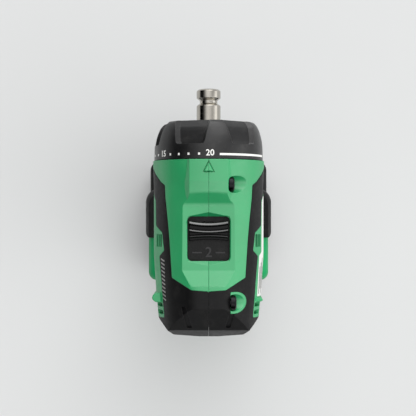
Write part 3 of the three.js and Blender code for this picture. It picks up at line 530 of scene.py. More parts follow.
def vent_tools(sign):
    tools = []
    for x, z in SIDE_VENTS:
        slit = bevel(box(x - 8, x + 12, -16.2, -10, AXIS_Z + z - 0.7, AXIS_Z + z + 0.7), 0.3, 2)
        tools.append(turned_by(slit, -50, "Y", (x, 0, AXIS_Z + z)))
    tools += [bevel(box(15, 40, y - 1, y + 1, AXIS_Z + 3.4, AXIS_Z + 11.3), 0.5, 3) for y in REAR_VENTS]
    return [mirrored(t) for t in tools] if sign < 0 else tools


def shell_body():
    """Both housing halves as one hollow body, before it is parted."""
    body = barrel(0, REAR_Y - 1, RING_Y)
    left = [
        (-22, -44), (-22, -38.6), (-26.2, -39.1), (-27.4, -40), (-27.8, -41.2), (-27.4, -42.4), (-26.2, -43.3)
    ]
    right = [(22, -43.3), (25.7, -43.1), (26.6, -42.6), (26.6, -41.8), (25.7, -41.3), (22, -41.1)]
    for plan in (left, right):
        join(body, bevel(prism(soften(plan, 0.6), "z", AXIS_Z - 10, AXIS_Z + 9.5), 0.6, 3, 60))
    foot_of = np.array([(-2.35, 20.05), (2.35, 20.05), (0, 24.75)])
    top = np.array([(-1.75, 20.45, 28.5), (1.75, 20.45, 28.5), (0, 23.95, 27.95)]) + (0, 0, AXIS_Z)
    pointer = skin("pointer", [at_height(foot_of, AXIS_Z + 20), at_height(foot_of, AXIS_Z + 27.8), top])
    moat = soften([(-2.95, 19.7), (2.95, 19.7), (0, 25.5)], 0.2)
    cut(body, prism(moat, "z", AXIS_Z + 27.3, AXIS_Z + 30))
    join(body, pointer, handle(0), foot(0), chin(0))
    room = turned("room", [(0, -58.5), (20.4, -58.5), (22.4, -36), (22.4, 19), (0, 19)], (0, 0, AXIS_Z), 96)
    common(room, prism(plan_outline(3), "z", AXIS_Z - 40, AXIS_Z + 40), prism(side_outline(3), "x", -40, 40))
    cut(room, over_deck(2.4))
    bore = turned(
        "bore", [(0, 18), (18.7, 18), (18.7, 22.5), (24.6, 22.5), (24.6, 28), (0, 28)], (0, 0, AXIS_Z), 128
    )
    join(room, bore)
    hollow_foot = foot(3, 71, 58.5)
    cut(body, room, handle(2.6, 62, 148), hollow_foot)
    return body


def housing_tools():
    """What is cut from both halves alike."""
    z = AXIS_Z
    bed = cut(barrel(-1, REAR_Y - 3, RING_Y + 1, 2.2), barrel(BED, REAR_Y - 3, RING_Y + 1, 2.2))
    common(bed, rubber_region(0.06))
    cut(bed, bar("x", 5.2, 10.45, 45, (0, SCREWS[1][0], SCREWS[1][1]), 64))
    grip_bed = cut(handle(-3, 62, 145), handle(BED, 62, 145))
    common(grip_bed, grip_region(0.06))
    return [
        bed, grip_bed, window_tool(), window_chamfer(), *chevrons(),
        box(-11.1, 11.1, -24.8, 0.7, z + 19.65, z + 21.2),
        bevel(box(-8.9, 8.9, -4, 30, 105.4, 131.2), 1.2, 4),
        bevel(box(-40, 40, -4.6, 6.6, 132, 138.6), 1.0, 3),
        box(-16.9, 16.9, -36, 30, 40, 47.9), box(-19.5, 19.5, -36, 30, 47.4, 55.3),
        box(-27, 27, -28.9, -2, 55, 60),
        box(-3.9, 3.9, 18, 30, z - 30.2, z - 25.4),
    ]


def seam_tongue(grow=0.0):
    """Tongue of the right half that closes the handle's seam; grown, its groove in the left half."""
    wall = cut(handle(1.8 - grow, 76, 128), handle(2.4 + grow, 70, 134))
    return common(wall, box(-0.5 - grow, 0.3, -60, 60, 78 - grow, 104 + grow))


# ---- procedural materials


def srgb(r, g, b):
    """A colour given as 0-255 screen values, as linear numbers."""
    return tuple(
        ((c / 255 + 0.055) / 1.055) ** 2.4 if c > 10 else c / 255 / 12.92 for c in (r, g, b)
    ) + (1.0,)


class Nodes:
    """A small helper that adds nodes and links to one material."""

    def __init__(self, name):
        self.material = bpy.data.materials.new(name)
        self.material.use_nodes = True
        self.tree = self.material.node_tree
        self.shader = self.tree.nodes["Principled BSDF"]
        self.where = self.add("ShaderNodeTexCoord").outputs["Object"]

    def add(self, kind, **settings):
        node = self.tree.nodes.new(kind)
        for key, value in settings.items():
            setattr(node, key, value)
        return node

    def link(self, source, target):
        self.tree.links.new(source, target)

    def stretched(self, factors):
        node = self.add("ShaderNodeMapping")
        node.inputs["Scale"].default_value = factors
        self.link(self.where, node.inputs["Vector"])
        return node.outputs["Vector"]

    def noise(self, size_mm, detail=3, roughness=0.55, vector=None):
        """Noise from 0 to 1 whose features are about size_mm across."""
        node = self.add("ShaderNodeTexNoise")
        node.inputs["Scale"].default_value = 1000 / size_mm
        node.inputs["Detail"].default_value = detail
        node.inputs["Roughness"].default_value = roughness
        self.link(vector or self.where, node.inputs["Vector"])
        return node.outputs["Fac"]

    def remap(self, value, lo, hi, to_lo=0.0, to_hi=1.0):
        node = self.add("ShaderNodeMapRange")
        for key, number in zip(("From Min", "From Max", "To Min", "To Max"), (lo, hi, to_lo, to_hi)):
            node.inputs[key].default_value = number
        self.link(value, node.inputs["Value"])
        return node.outputs["Result"]

    def math(self, how, a, b=0.5):
        node = self.add("ShaderNodeMath", operation=how)
        for socket, value in zip(node.inputs, (a, b)):
            if isinstance(value, (int, float)):
                socket.default_value = value
            else:
                self.link(value, socket)
        return node.outputs[0]

    def mix(self, factor, a, b):
        node = self.add("ShaderNodeMix", data_type="RGBA")
        for socket, value in ((node.inputs[0], factor), (node.inputs[6], a), (node.inputs[7], b)):
            if isinstance(value, (int, float, tuple)):
                socket.default_value = value
            else:
                self.link(value, socket)
        return node.outputs[2]

    def bump(self, height, strength, distance_mm, normal=None):
        node = self.add("ShaderNodeBump")
        node.inputs["Strength"].default_value = strength
        node.inputs["Distance"].default_value = distance_mm * MM
        self.link(height, node.inputs["Height"])
        if normal:
            self.link(normal, node.inputs["Normal"])
        return node.outputs["Normal"]

    def rounded_edge(self, radius_mm):
        node = self.add("ShaderNodeBevel", samples=6)
        node.inputs["Radius"].default_value = radius_mm * MM
        return node.outputs["Normal"]

    def edge_mask(self, rounded, sharp=0.06):
        """1 along outer and inner edges, 0 on open faces."""
        flat = self.add("ShaderNodeNewGeometry").outputs["Normal"]
        dot = self.add("ShaderNodeVectorMath", operation="DOT_PRODUCT")
        self.link(rounded, dot.inputs[0])
        self.link(flat, dot.inputs[1])
        return self.remap(dot.outputs["Value"], 1.0 - sharp, 1.0, 1.0, 0.0)

    def depth_mask(self, radius_mm, beside_mm=12):
        """Where shade is painted: 1 inside the barrel, nearer to its axis than radius_mm and further than beside_mm
        from the middle plane.
        """
        spot = self.add("ShaderNodeSeparateXYZ")
        self.link(self.where, spot.inputs[0])
        x, z = self.math("ABSOLUTE", spot.outputs["X"]), self.math("SUBTRACT", spot.outputs["Z"], AXIS_Z * MM)
        radius = self.math("SQRT", self.math("ADD", self.math("MULTIPLY", x, x), self.math("MULTIPLY", z, z)))
        allowed = self.remap(spot.outputs["Y"], -46 * MM, -20 * MM, (radius_mm - 3.8) * MM, radius_mm * MM)
        rear = self.math("LESS_THAN", spot.outputs["Y"], -4 * MM)
        deep = self.math("MULTIPLY", rear, self.math("LESS_THAN", radius, allowed))
        return self.math("MULTIPLY", deep, self.math("GREATER_THAN", x, beside_mm * MM))


def moulded(
    name, colour, rough=0.5, grain=0.35, grain_mm=0.35, edge=0.5, wear=0.25, coat=0.0, specular=0.5,
    dust=0.06, matte_below=None, grain_depth=0.05, painted_shade_inside=None,
):
    """Moulded plastic or rubber: fine grain, patchy gloss, lighter worn edges, a trace of dust and, where asked,
    painted shade deep inside the barrel.
    """
    n = Nodes(name)
    r, g, b, _ = colour
    patches = n.remap(n.noise(26, 3), 0.3, 0.7, 0.0, 1.0)
    tone = n.mix(
        patches, (r * 0.93, g * 0.93, b * 0.93, 1), (min(r * 1.06, 1), min(g * 1.06, 1), min(b * 1.06, 1), 1)
    )
    round_normal = n.rounded_edge(edge)
    worn = n.math("MULTIPLY", n.edge_mask(round_normal), n.remap(n.noise(3.1, 4, 0.7), 0.35, 0.75, 0.1, wear))
    light = tuple(min(c * 1.35 + 0.05, 1) for c in (r, g, b)) + (1,)
    tone = n.mix(worn, tone, light)
    dusty = n.math("MULTIPLY", n.remap(n.noise(7.0, 6, 0.75), 0.52, 0.78), dust)
    tone = n.mix(dusty, tone, (0.42, 0.40, 0.37, 1))
    # painted shade: surfaces deep inside the barrel, such as the walls of the vent slits, are darkened in their
    # colour
    if painted_shade_inside:
        tone = n.mix(n.depth_mask(painted_shade_inside), tone, (r * 0.08, g * 0.08, b * 0.08, 1))
    n.link(tone, n.shader.inputs["Base Color"])
    gloss = n.remap(n.noise(1.9, 5, 0.65), 0.25, 0.75, rough - 0.07, rough + 0.08)
    n.link(gloss, n.shader.inputs["Roughness"])
    fine = n.noise(grain_mm, 3, 0.6)
    broad = n.noise(5.5, 2)
    normal = n.bump(broad, 0.05, 0.6, round_normal)
    normal = n.bump(fine, grain, grain_depth, normal)
    n.link(normal, n.shader.inputs["Normal"])
    n.shader.inputs["Specular IOR Level"].default_value = specular
    if matte_below:
        height = n.add("ShaderNodeSeparateXYZ")
        n.link(n.where, height.inputs[0])
        low, high = ((AXIS_Z + z) * MM for z in matte_below)
        shine = n.remap(height.outputs["Z"], low, high, specular * 0.12, specular)
        n.link(shine, n.shader.inputs["Specular IOR Level"])
    if coat:
        n.shader.inputs["Coat Weight"].default_value = coat
        n.shader.inputs["Coat Roughness"].default_value = 0.25
    return n.material


def machined(name, colour, rough=0.28, stretch=(1, 1, 1), scratch=0.25, edge=0.15, stain=0.25):
    """Machined metal: fine tool marks along one direction, patchy polish and brighter edges."""
    n = Nodes(name)
    r, g, b, _ = colour
    tarnish = n.remap(n.noise(8, 5, 0.7), 0.4, 0.8, 0.0, stain)
    tone = n.mix(tarnish, colour, (r * 0.62, g * 0.57, b * 0.5, 1))
    round_normal = n.rounded_edge(edge)
    tone = n.mix(
        n.math("MULTIPLY", n.edge_mask(round_normal), 0.5), tone,
        (min(r * 1.3, 1), min(g * 1.3, 1), min(b * 1.3, 1), 1)
    )
    n.link(tone, n.shader.inputs["Base Color"])
    marks = n.noise(0.55, 5, 0.7, n.stretched(stretch))
    n.link(n.remap(marks, 0.3, 0.75, rough - 0.08, rough + 0.14), n.shader.inputs["Roughness"])
    n.link(n.bump(marks, scratch, 0.03, round_normal), n.shader.inputs["Normal"])
    n.shader.inputs["Metallic"].default_value = 1.0
    return n.material


# the green shell gets painted shade on its surfaces deep inside the barrel, behind the vents
GREEN = moulded(
    "green_plastic", srgb(27, 156, 93), 0.42, grain=0.22, grain_mm=0.3, edge=0.45, wear=0.25, specular=1.0,
    dust=0.02, matte_below=(-2, 14), painted_shade_inside=25.8
)
RUBBER = moulded(
    "black_rubber", srgb(9, 9, 10), 0.5, grain=0.5, grain_mm=0.42, edge=0.4, wear=0.15, specular=0.2,
    dust=0.03
)
BLACK = moulded(
    "black_plastic", srgb(8, 8, 9), 0.3, grain=0.35, grain_mm=0.35, edge=0.35, wear=0.3, specular=0.3,
    dust=0.03
)
GLOSSY = moulded(
    "glossy_plastic", srgb(8, 8, 9), 0.16, grain=0.1, grain_mm=0.35, edge=0.2, wear=0.3, specular=1.0,
    dust=0.02, matte_below=(22.9, 23.9)
)
DIAL = moulded(
    "dial_plastic", srgb(16, 16, 17), 0.34, grain=0.7, grain_mm=0.45, edge=0.22, wear=0.4, specular=0.5,
    dust=0.04
)
BATTERY = moulded(
    "battery_plastic", srgb(11, 11, 12), 0.42, grain=0.45, grain_mm=0.5, edge=0.5, wear=0.3, specular=0.25,
    dust=0.05
)
TEXTURED = moulded(
    "stippled_plastic", srgb(7, 7, 7), 0.4, grain=1.0, grain_mm=0.6, grain_depth=0.3, edge=0.3, wear=0.3,
    specular=0.25, dust=0.03
)
PAINT = moulded(
    "white_print", srgb(240, 240, 236), 0.5, grain=0.2, grain_mm=0.4, edge=0.05, wear=0.0, dust=0.05
)
LABEL = moulded(
    "blank_label", srgb(232, 232, 228), 0.35, grain=0.1, grain_mm=0.6, edge=0.15, wear=0.0, coat=0.3,
    dust=0.05
)
GREY_INK = moulded(
    "grey_ink", srgb(150, 150, 148), 0.5, grain=0.2, grain_mm=0.4, edge=0.05, wear=0.0, dust=0.05
)
DARK_INK = moulded("dark_ink", srgb(52, 52, 54), 0.5, grain=0.2, grain_mm=0.4, edge=0.05, wear=0.0, dust=0.05)
MOULDED_MARK = moulded(
    "raised_mark", srgb(44, 44, 45), 0.4, grain=0.3, grain_mm=0.4, edge=0.1, wear=0.2, specular=0.3, dust=0.02
)
NYLON = moulded("nylon", srgb(214, 208, 190), 0.5, grain=0.2, edge=0.3, wear=0.1)
STEEL = machined("turned_steel", srgb(178, 174, 166), 0.15, stretch=(0.12, 3.0, 0.12), scratch=0.25)
GEAR_STEEL = machined("gear_steel", srgb(150, 150, 150), 0.3, stretch=(1, 0.15, 1))
DARK_STEEL = machined("blackened_steel", srgb(34, 34, 36), 0.24, stretch=(1, 1, 1), stain=0.4)
ALLOY = machined("cast_alloy", srgb(158, 160, 162), 0.48, scratch=0.6)
CASE_ALLOY = machined("dark_cast_alloy", srgb(46, 47, 49), 0.55, scratch=0.6)
SHEET = machined("stacked_sheet", srgb(112, 114, 118), 0.42, stretch=(0.2, 8, 0.2), scratch=0.7)
COPPER = machined("enamelled_copper", srgb(176, 96, 46), 0.3, stretch=(2, 6, 2), scratch=0.8)
BOARD = moulded("solder_mask", srgb(22, 92, 52), 0.3, grain=0.1, edge=0.1, wear=0.1, coat=0.4)
CELL = moulded("cell_sleeve", srgb(38, 96, 168), 0.3, grain=0.08, edge=0.3, wear=0.1, coat=0.3)


def lens_material():
    n = Nodes("lamp_lens")
    ripple = n.noise(0.8, 2)
    n.link(n.remap(ripple, 0.3, 0.7, 0.04, 0.12), n.shader.inputs["Roughness"])
    n.link(n.bump(ripple, 0.1, 0.05), n.shader.inputs["Normal"])
    n.shader.inputs["Base Color"].default_value = srgb(236, 242, 244)
    n.shader.inputs["Transmission Weight"].default_value = 0.85
    n.shader.inputs["IOR"].default_value = 1.49
    return n.material


LENS = lens_material()

# ---- housing pieces

shell = shell_body()
tools = housing_tools()
for sign, side in ((-1, "left"), (1, "right")):
    half = common(copy(shell), side_of(sign))
    cut(half, *tools, keep=True)
    cut(half, *vent_tools(sign))
    if sign > 0:
        cut(half, *screw_bores())
        join(half, seam_tongue())
    else:
        cut(half, seam_tongue(0.1))
    finish_piece(half, "drill_body", GREEN, "green_shell", f"{side}_housing", angle=35)
    half.name = f"{side}_shell"
drop(shell, *tools)

rubber = cut(barrel(0.02, REAR_Y - 1, RING_Y), barrel(SKIN, REAR_Y - 3, RING_Y + 1, 2.2))
common(rubber, rubber_region(-0.1))
grooves = []
for sign in (-1, 1):
    path = np.array([(sign * 12.0, -44.2), (sign * 9.2, -55.2)])
    across = np.array([1.25, 0])
    outline = soften([path[0] - across, path[0] + across, path[1] + across, path[1] - across], 0.9)
    grooves.append(prism(outline, "z", AXIS_Z + 10, AXIS_Z + 30))
core = barrel(0.6, REAR_Y - 1, RING_Y, 2.2)
grooves = [cut(groove, core, keep=True) for groove in grooves]
drop(core)
cut(rubber, *grooves)
cut(rubber, bar("x", 5.3, 10.3, 45, (0, SCREWS[1][0], SCREWS[1][1]), 64), *screw_bores(only=(0,)))
for sign, side in ((-1, "left"), (1, "right")):
    finish_piece(
        common(copy(rubber), side_of(sign)), "drill_body", RUBBER, "black_rubber", f"{side}_overmould",
        angle=35
    ).name = f"{side}_rubber"
drop(rubber)

grip = cut(handle(0.02, 62, 145), handle(SKIN, 60, 147))
common(grip, grip_region(-0.12))
cut(
    grip, foot(-0.2), barrel(-0.2, REAR_Y - 1, RING_Y, 2.2), bevel(box(-9.3, 9.3, -4, 40, 100, 140), 1.2, 3),
    *screw_bores(only=(2, 3))
)
for sign, side in ((-1, "left"), (1, "right")):
    finish_piece(
        common(copy(grip), side_of(sign)), "drill_body", RUBBER, "black_rubber", f"{side}_grip_rubber",
        angle=35
    ).name = f"{side}_grip"
drop(grip)

# ---- label and printed accent


def wrapped(outline, sign, lift, base=0.0):
    """A thin print that lies on the barrel's side, over an outline in the yz plane."""
    layer = cut(barrel(base - lift, REAR_Y - 1, RING_Y), barrel(base + 0.02, REAR_Y - 2, RING_Y + 1))
    z = np.asarray(outline, float) + (0, AXIS_Z)
    return common(layer, prism(z, "x", *sorted((sign * 8, sign * 40))))


LABEL_EDGE = [(8.6, -9), (8.6, 3.4), (5.8, 5.7), (-18.8, 6.4), (-20.6, 9.2), (-40.6, 9.2), (-40.6, -9)]
label = wrapped(soften(LABEL_EDGE, 0.6), 1, 0.10)
finish_piece(label, "drill_body", LABEL, "green_shell", angle=30).name = "side_label"
lines = None
for k in range(4):
    start, end, z = -26 + 2 * (k % 3), -39.4 + 2.5 * (k % 2), 8.2 - 1.5 * k
    row = wrapped([(start, z - 0.7), (start, z), (end, z), (end, z - 0.7)], 1, 0.13)
    lines = row if lines is None else join(lines, row)
finish_piece(lines, "drill_body", DARK_INK, "green_shell", angle=30).name = "label_rules"
hatch = None
for k in range(11):
    y = -21.6 - 1.9 * k
    mark = wrapped([(y, 12.2), (y - 0.7, 12.2), (y - 1.7, 15), (y - 1.0, 15)], -1, 0.03)
    hatch = mark if hatch is None else join(hatch, mark)
finish_piece(hatch, "drill_body", GREY_INK, "black_rubber", angle=30).name = "side_accent"

# ---- torque dial

DIAL_OUTER = [
    (27.02, 26.35), (27.02, 27.2), (26.98, 33), (26.45, 37), (25.6, 40.2), (24.7, 42.6), (23.5, 44.4),
    (22.2, 45.12), (20.6, 45.2)
]


def fine_profile(points):
    """A smooth curve through profile points."""
    p = np.array(points)
    for _ in range(3):
        q = np.empty((2 * len(p) - 2, 2))
        q[0::2] = 0.75 * p[:-1] + 0.25 * p[1:]
        q[1::2] = 0.25 * p[:-1] + 0.75 * p[1:]
        p = np.vstack([points[0], q, points[-1]])
    return [tuple(v) for v in p]


def scallop():
    """One finger scallop of the dial: a flat floor that follows the dial's profile, between sloping sides."""
    stations = np.array([
        # y, half width and height of the floor
        (33.45, 4.2, 24.1), (33.6, 4.7, 24.1), (33.9, 5.15, 24.05), (34.4, 5.5, 24), (35.6, 5.8, 23.8),
        (38, 6.15, 23.2),
        (40, 6.45, 22.5), (42, 6.75, 21.6), (43.5, 6.95, 20.3), (46, 7.1, 17.8),
    ])
    ys = np.concatenate([stations[:4, 0], np.linspace(34.8, 46, 20)])
    rings = []
    for y in ys:
        half, floor = (np.interp(y, stations[:, 0], stations[:, k]) for k in (1, 2))
        wide = half + 30 - floor
        rings.append(
            [(x, y, AXIS_Z + z) for x, z in ((-wide, 30), (wide, 30), (half, floor), (-half, floor))]
        )
    return skin("scallop", rings)


def dial_body():
    inner = [(17.1, 45.2), (16.6, 44.7), (16.6, 42.2), (19.8, 42.2), (19.8, 31), (22.4, 30), (22.4, 26.3)]
    profile = [(22.4, 26.3), (26.7, 26.3), *fine_profile(DIAL_OUTER), *inner]
    dial = turned("dial", profile, (0, 0, AXIS_Z), 240)
    cut(dial, *[turned_by(scallop(), 40 + 60 * k) for k in range(6)])
    cut(
        dial,
        *[turned_by(box(-2.3, 2.3, 26, 41.9, AXIS_Z + 19.4, AXIS_Z + 21.1), 45 + 90 * k) for k in range(4)]
    )
    return dial


def numeral(text, height, name):
    """A raised outline of a number, flat in the xy plane and centred on the origin, as a thin solid."""
    curve = bpy.data.curves.new(name, "FONT")
    curve.body, curve.size, curve.extrude = text, height * 1.38 * MM, 3 * MM
    curve.align_x, curve.align_y, curve.resolution_u = "CENTER", "CENTER", 3
    curve.offset = 0.07 * MM
    holder = bpy.data.objects.new(name, curve)
    bpy.context.scene.collection.objects.link(holder)
    mesh = bpy.data.meshes.new_from_object(holder.evaluated_get(bpy.context.evaluated_depsgraph_get()))
    bpy.data.objects.remove(holder)
    bpy.data.curves.remove(curve)
    ob = bpy.data.objects.new(name, mesh)
    bpy.context.scene.collection.objects.link(ob)
    bm = bmesh.new()
    bm.from_mesh(mesh)
    bmesh.ops.remove_doubles(bm, verts=bm.verts, dist=1e-6)
    bm.to_mesh(mesh)
    bm.free()
    return ob


def dial_print():
    """The dial's scale: numbers, dots, the long line and the drilling mark, as a thin print on its surface."""
    step, start, band = 11.1, 1.5, 28.95
    marks = []
    for number in range(1, 21):
        angle = start - (20 - number) * step
        if number in (1, 5, 10, 15, 20):
            mark = numeral(str(number), 2.95, "mark")
            mark.data.transform(Matrix.Translation(Vector((0, band, AXIS_Z + 27)) * MM))
        else:
            mark = box(-0.5, 0.5, band - 0.9, band + 0.15, AXIS_Z + 24, AXIS_Z + 29)
        marks.append(turned_by(mark, angle))
    for k in range(24):
        a = 11.4 + (78 - 11.4) * k / 24
        marks.append(turned_by(box(-0.05, 0.7 * 1.9, band - 1.1, band - 0.1, AXIS_Z + 25, AXIS_Z + 29), a))
    for y0, y1, w in ((band - 1.5, band + 0.9, 0.45), (band + 0.9, band + 1.5, 0.2)):
        marks.append(turned_by(box(-w, w, y0, y1, AXIS_Z + 24, AXIS_Z + 29), 89))
    for k in range(3):
        marks.append(turned_by(
            box(-1.2, 1.2, band - 1.3 + 0.8 * k, band - 1.0 + 0.8 * k, AXIS_Z + 24, AXIS_Z + 29), 89
        ))
    layer = turned(
        "layer", [(26.5, 27.0), (27.06, 27.4), (27.04, 31.6), (26.5, 31.8), (26.5, 27.0)], (0, 0, AXIS_Z), 240
    )
    whole = marks[0]
    join(whole, *marks[1:])
    return common(whole, layer)


dial = dial_body()
finish_piece(dial, "dial", DIAL, "dial_plastic", "torque_dial", angle=30).name = "torque_ring"
finish_piece(dial_print(), "dial", PAINT, "dial_plastic").name = "dial_scale"


# ---- spindle and nose


SPINDLE_RADIUS = 6
GROOVE_RADIUS = 4.4
HEX_ACROSS = 6.5  # the socket, across its flats


def spindle_body():
    r, groove = SPINDLE_RADIUS, GROOVE_RADIUS
    profile = [
        (0, 15.5), (5.3, 15.5), (5.3, 20), (r, 20.6), (r, 37.2), (4.9, 37.2), (4.9, 38.6), (r, 38.6),
        (r, 53.6),
        (r - 0.1, 53.8), (groove + 0.15, 54.85), (groove, 55.1), (groove, 56.2), (groove + 0.15, 56.45),
        (r - 0.1, 57.5), (r, 57.7),
        (r, TIP_Y - 1.1), (r - 0.12, TIP_Y - 0.75), (r - 0.85, TIP_Y - 0.08), (r - 1.1, TIP_Y), (0, TIP_Y),
    ]
    body = turned("spindle_visual", profile, (0, 0, AXIS_Z), 128)
    across = HEX_ACROSS / math.sqrt(3)
    hexagon = [(
        across * math.sin(math.radians(60 * k)), AXIS_Z + across * math.cos(math.radians(60 * k))
    ) for k in range(6)]
    wide = [(x * 1.14, AXIS_Z + (z - AXIS_Z) * 1.14) for x, z in hexagon]
    lead = skin(
        "lead",
        [np.array([(x, y, z) for x, z in ring]) for y, ring in ((TIP_Y - 0.55, hexagon), (TIP_Y + 0.1, wide))]
    )
    flats = [box(s * 7.3 - 3, s * 7.3 + 3, 10, 20, AXIS_Z - 9, AXIS_Z + 9) for s in (-1, 1)]
    return cut(body, prism(hexagon, "y", TIP_Y - 15.5, TIP_Y + 1), lead, *flats)


def nose_body():
    profile = [(7.2, 38.8), (13.4, 38.8), (13.4, 42.4), (
        16.0, 42.75
    ), (16.2, 43.0), (16.2, 44.0), (16.0, 44.35), (14.8, 44.9), (14.4, 45),
               (9.2, 45), (8.6, 44.8), (7.6, 43.6), (7.2, 43.0), (7.2, 38.8)]
    return turned("nose_visual", profile, (0, 0, AXIS_Z), 128)


finish_piece(spindle_body(), "spindle_train", STEEL, "steel", "spindle", angle=25).name = "drive_spindle"
finish_piece(nose_body(), "drill_body", ALLOY, "cast_alloy", "nose_ring", angle=25).name = "nose_collar"

# ---- speed selector


KNOB = [
    # y at the ends, y in the middle, height: three cross ridges, each with a slope to the front that ends in a crest
    (-3.3, -4.3, 1.9), (-3.5, -4.5, 2.6), (-3.7, -4.7, 2.75), (-4.4, -5.4, 3.2), (-4.6, -5.6, 3.1),
    (-5.1, -6.1, 1.6),
    (-6.9, -7.8, 1.35), (-7.25, -8.1, 2.3), (-7.9, -8.7, 2.68), (-8.1, -8.9, 2.55), (-8.6, -9.25, 1.2),
    (-10.2, -9.7, 1.1),
    (-10.6, -10.1, 1.75), (-11.1, -10.55, 2.0), (-11.35, -10.8, 1.8), (-11.7, -11.2, 1.2),
    (-12.7, -12.1, 1.15),
    (-12.9, -12.25, 0.7),
]


def selector_knob():
    """The sliding thumb piece, with three curved cross ridges worked into its top."""
    half, base, per = 9.4, AXIS_Z + 21.2, 5
    knots = np.array(KNOB)
    t = np.linspace(0, len(knots) - 1, (len(knots) - 1) * per + 1)
    ends, centre, height = (np.interp(t, np.arange(len(knots)), knots[:, k]) for k in range(3))
    for row in (ends, centre, height):
        row[1:-1] = (row[:-2] + 2 * row[1:-1] + row[2:]) / 4
    u = np.concatenate(
        [np.linspace(-1, -0.95, 6)[:-1], np.linspace(-0.95, 0.95, 49), np.linspace(0.95, 1, 6)[1:]]
    )
    x = np.tile(half * u, (len(t), 1))
    y = centre[:, None] + (ends - centre)[:, None] * u**2
    fade = np.clip((1 - np.abs(u)) * half / 0.45, 0, 1)
    z = np.tile(height[:, None], len(u)) - 0.4 * (1 - np.sqrt(1 - (1 - fade) ** 2))
    top = np.stack([x, y, base + z], -1).reshape(-1, 3)
    low = np.stack([x, y, np.full_like(x, base)], -1).reshape(-1, 3)
    rows, cols = x.shape
    n = rows * cols
    faces = []
    for j in range(rows - 1):
        for i in range(cols - 1):
            a = j * cols + i
            faces.append((a, a + cols, a + cols + 1, a + 1))
            faces.append((n + a, n + a + 1, n + a + cols + 1, n + a + cols))
    rim = [i for i in range(cols)] + [j * cols + cols - 1 for j in range(1, rows)]
    rim += [
        (rows - 1) * cols + i for i in range(cols - 2, -1, -1)
    ] + [j * cols for j in range(rows - 2, 0, -1)]
    for a, b in zip(rim, rim[1:] + rim[:1]):
        faces.append((a, b, n + b, n + a))
    knob = outward(make("knob", np.concatenate([top, low]), faces))
    return join(knob, box(-2.2, 2.2, -5.8, -4, AXIS_Z + 19.9, base + 0.4))


def selector_deck():
    """The floor of the window: a slotted plate with the raised number of the gear that the button uncovers."""
    plate = box(-10.8, 10.8, -24.5, 0.4, AXIS_Z + 19.95, AXIS_Z + 20.9)
    cut(plate, box(-2.5, 2.5, -12.1, -3.7, AXIS_Z + 18, AXIS_Z + 22))
    number = numeral("2", 5.0, "number")
    number.data.transform(
        Matrix.Translation(Vector((0, -18.6, AXIS_Z + 20.9)) * MM) @ Matrix.Diagonal((1, 1, 0.07, 1))
    )
    bars = [box(x - 2.3, x + 2.3, -18.9, -18.3, AXIS_Z + 20.5, AXIS_Z + 21.1) for x in (-5.6, 5.6)]
    return plate, join(number, *bars)


finish_piece(
    selector_knob(), "selector", GLOSSY, "black_plastic", "speed_selector", angle=40
).name = "selector_button"
floor_plate, gear_number = selector_deck()
finish_piece(
    floor_plate, "drill_body", TEXTURED, "black_plastic", "selector_plate", angle=30
).name = "selector_floor"
finish_piece(gear_number, "drill_body", MOULDED_MARK, "black_plastic", angle=30).name = "gear_number"

# ---- trigger, lever, lamp


def curve_points(a, control, b, count=14):
    a, control, b = map(np.array, (a, control, b))
    return [tuple((1 - t) ** 2 * a + 2 * (1 - t) * t * control + t**2 * b) for t in np.linspace(0, 1, count)]


def trigger_body():
    side = [(3, 107), (14.5, 106.4), *curve_points((14.5, 106.4), (17.8, 107.5), (16.4, 112))[1:],
            *curve_points((16.4, 112), (13.4, 119), (16.6, 126))[1:],
            *curve_points((16.6, 126), (17.4, 129.8), (14, 130))[1:], (3, 130)]
    cup = bevel(prism(side, "x", -8.4, 8.4), 1.3, 5, 50)
    cut(cup, box(-6.4, 6.4, -5, 5.5, 109, 128))
    return join(cup, box(-2.5, 2.5, -5.8, 6, 116, 122))


def lever_body():
    outline = soften(
        [(-19.6, -2.4), (-17, -3), (17, -3), (19.6, -2.4), (19.6, 4.4), (17, 5), (-17, 5), (-19.6, 4.4)], 1.2
    )
    lever = bevel(prism(outline, "z", 133.2, 137.6), 0.7, 4, 50)
    for sign in (-1, 1):
        for k in range(3):
            y = -0.6 + 1.6 * k
            cut(lever, box(*sorted((sign * 19.25, sign * 21)), y - 0.3, y + 0.3, 134, 136.8))
    return join(lever, box(-4, 4, -9, -2.5, 133.2, 136))


def lens_body():
    z = AXIS_Z
    front = bevel(box(-3.5, 3.5, 24, 25.9, z - 29.8, z - 25.8), 0.4, 4)
    return join(front, box(-2.4, 2.4, 22, 25, z - 29.4, z - 26.2))


finish_piece(trigger_body(), "trigger", BLACK, "black_plastic", "trigger", angle=32).name = "trigger_lever"
finish_piece(
    lever_body(), "lever", BLACK, "black_plastic", "direction_lever", angle=32
).name = "direction_bar"
finish_piece(lens_body(), "drill_body", LENS, "lamp_lens", "led_lens", angle=32).name = "lamp_window"

# ---- housing screws


def screw_body(y, z, high):
    """Pan head with a six-lobed recess; high is the x of the top of the head."""
    seat = high - 2.6
    head = [
        (0, seat), (3.6, seat), (3.6, seat + 1.5), (3.45, seat + 2.0), (3.0, seat + 2.4), (2.5, high - 0.03),
        (0, high)
    ]
    screw = turned("screw", head, (0, y, z), 64, "x")
    shank = bar("x", 1.5, seat - 17.5, seat + 0.3, (0, y, z), 24)
    a = np.linspace(0, 2 * math.pi, 72, endpoint=False)
    r = 1.45 + 0.27 * np.cos(6 * a)
    recess = prism(np.column_stack([y + r * np.cos(a), z + r * np.sin(a)]), "x", high - 1.5, high + 1)
    return cut(join(screw, shank), recess)


for k, (y, z, high) in enumerate(SCREWS, 1):
    finish_piece(
        screw_body(y, z, high), "drill_body", DARK_STEEL, "steel", f"housing_screw_{k}", angle=25
    ).name = f"case_screw_{k}"

# ---- foot bumper and battery


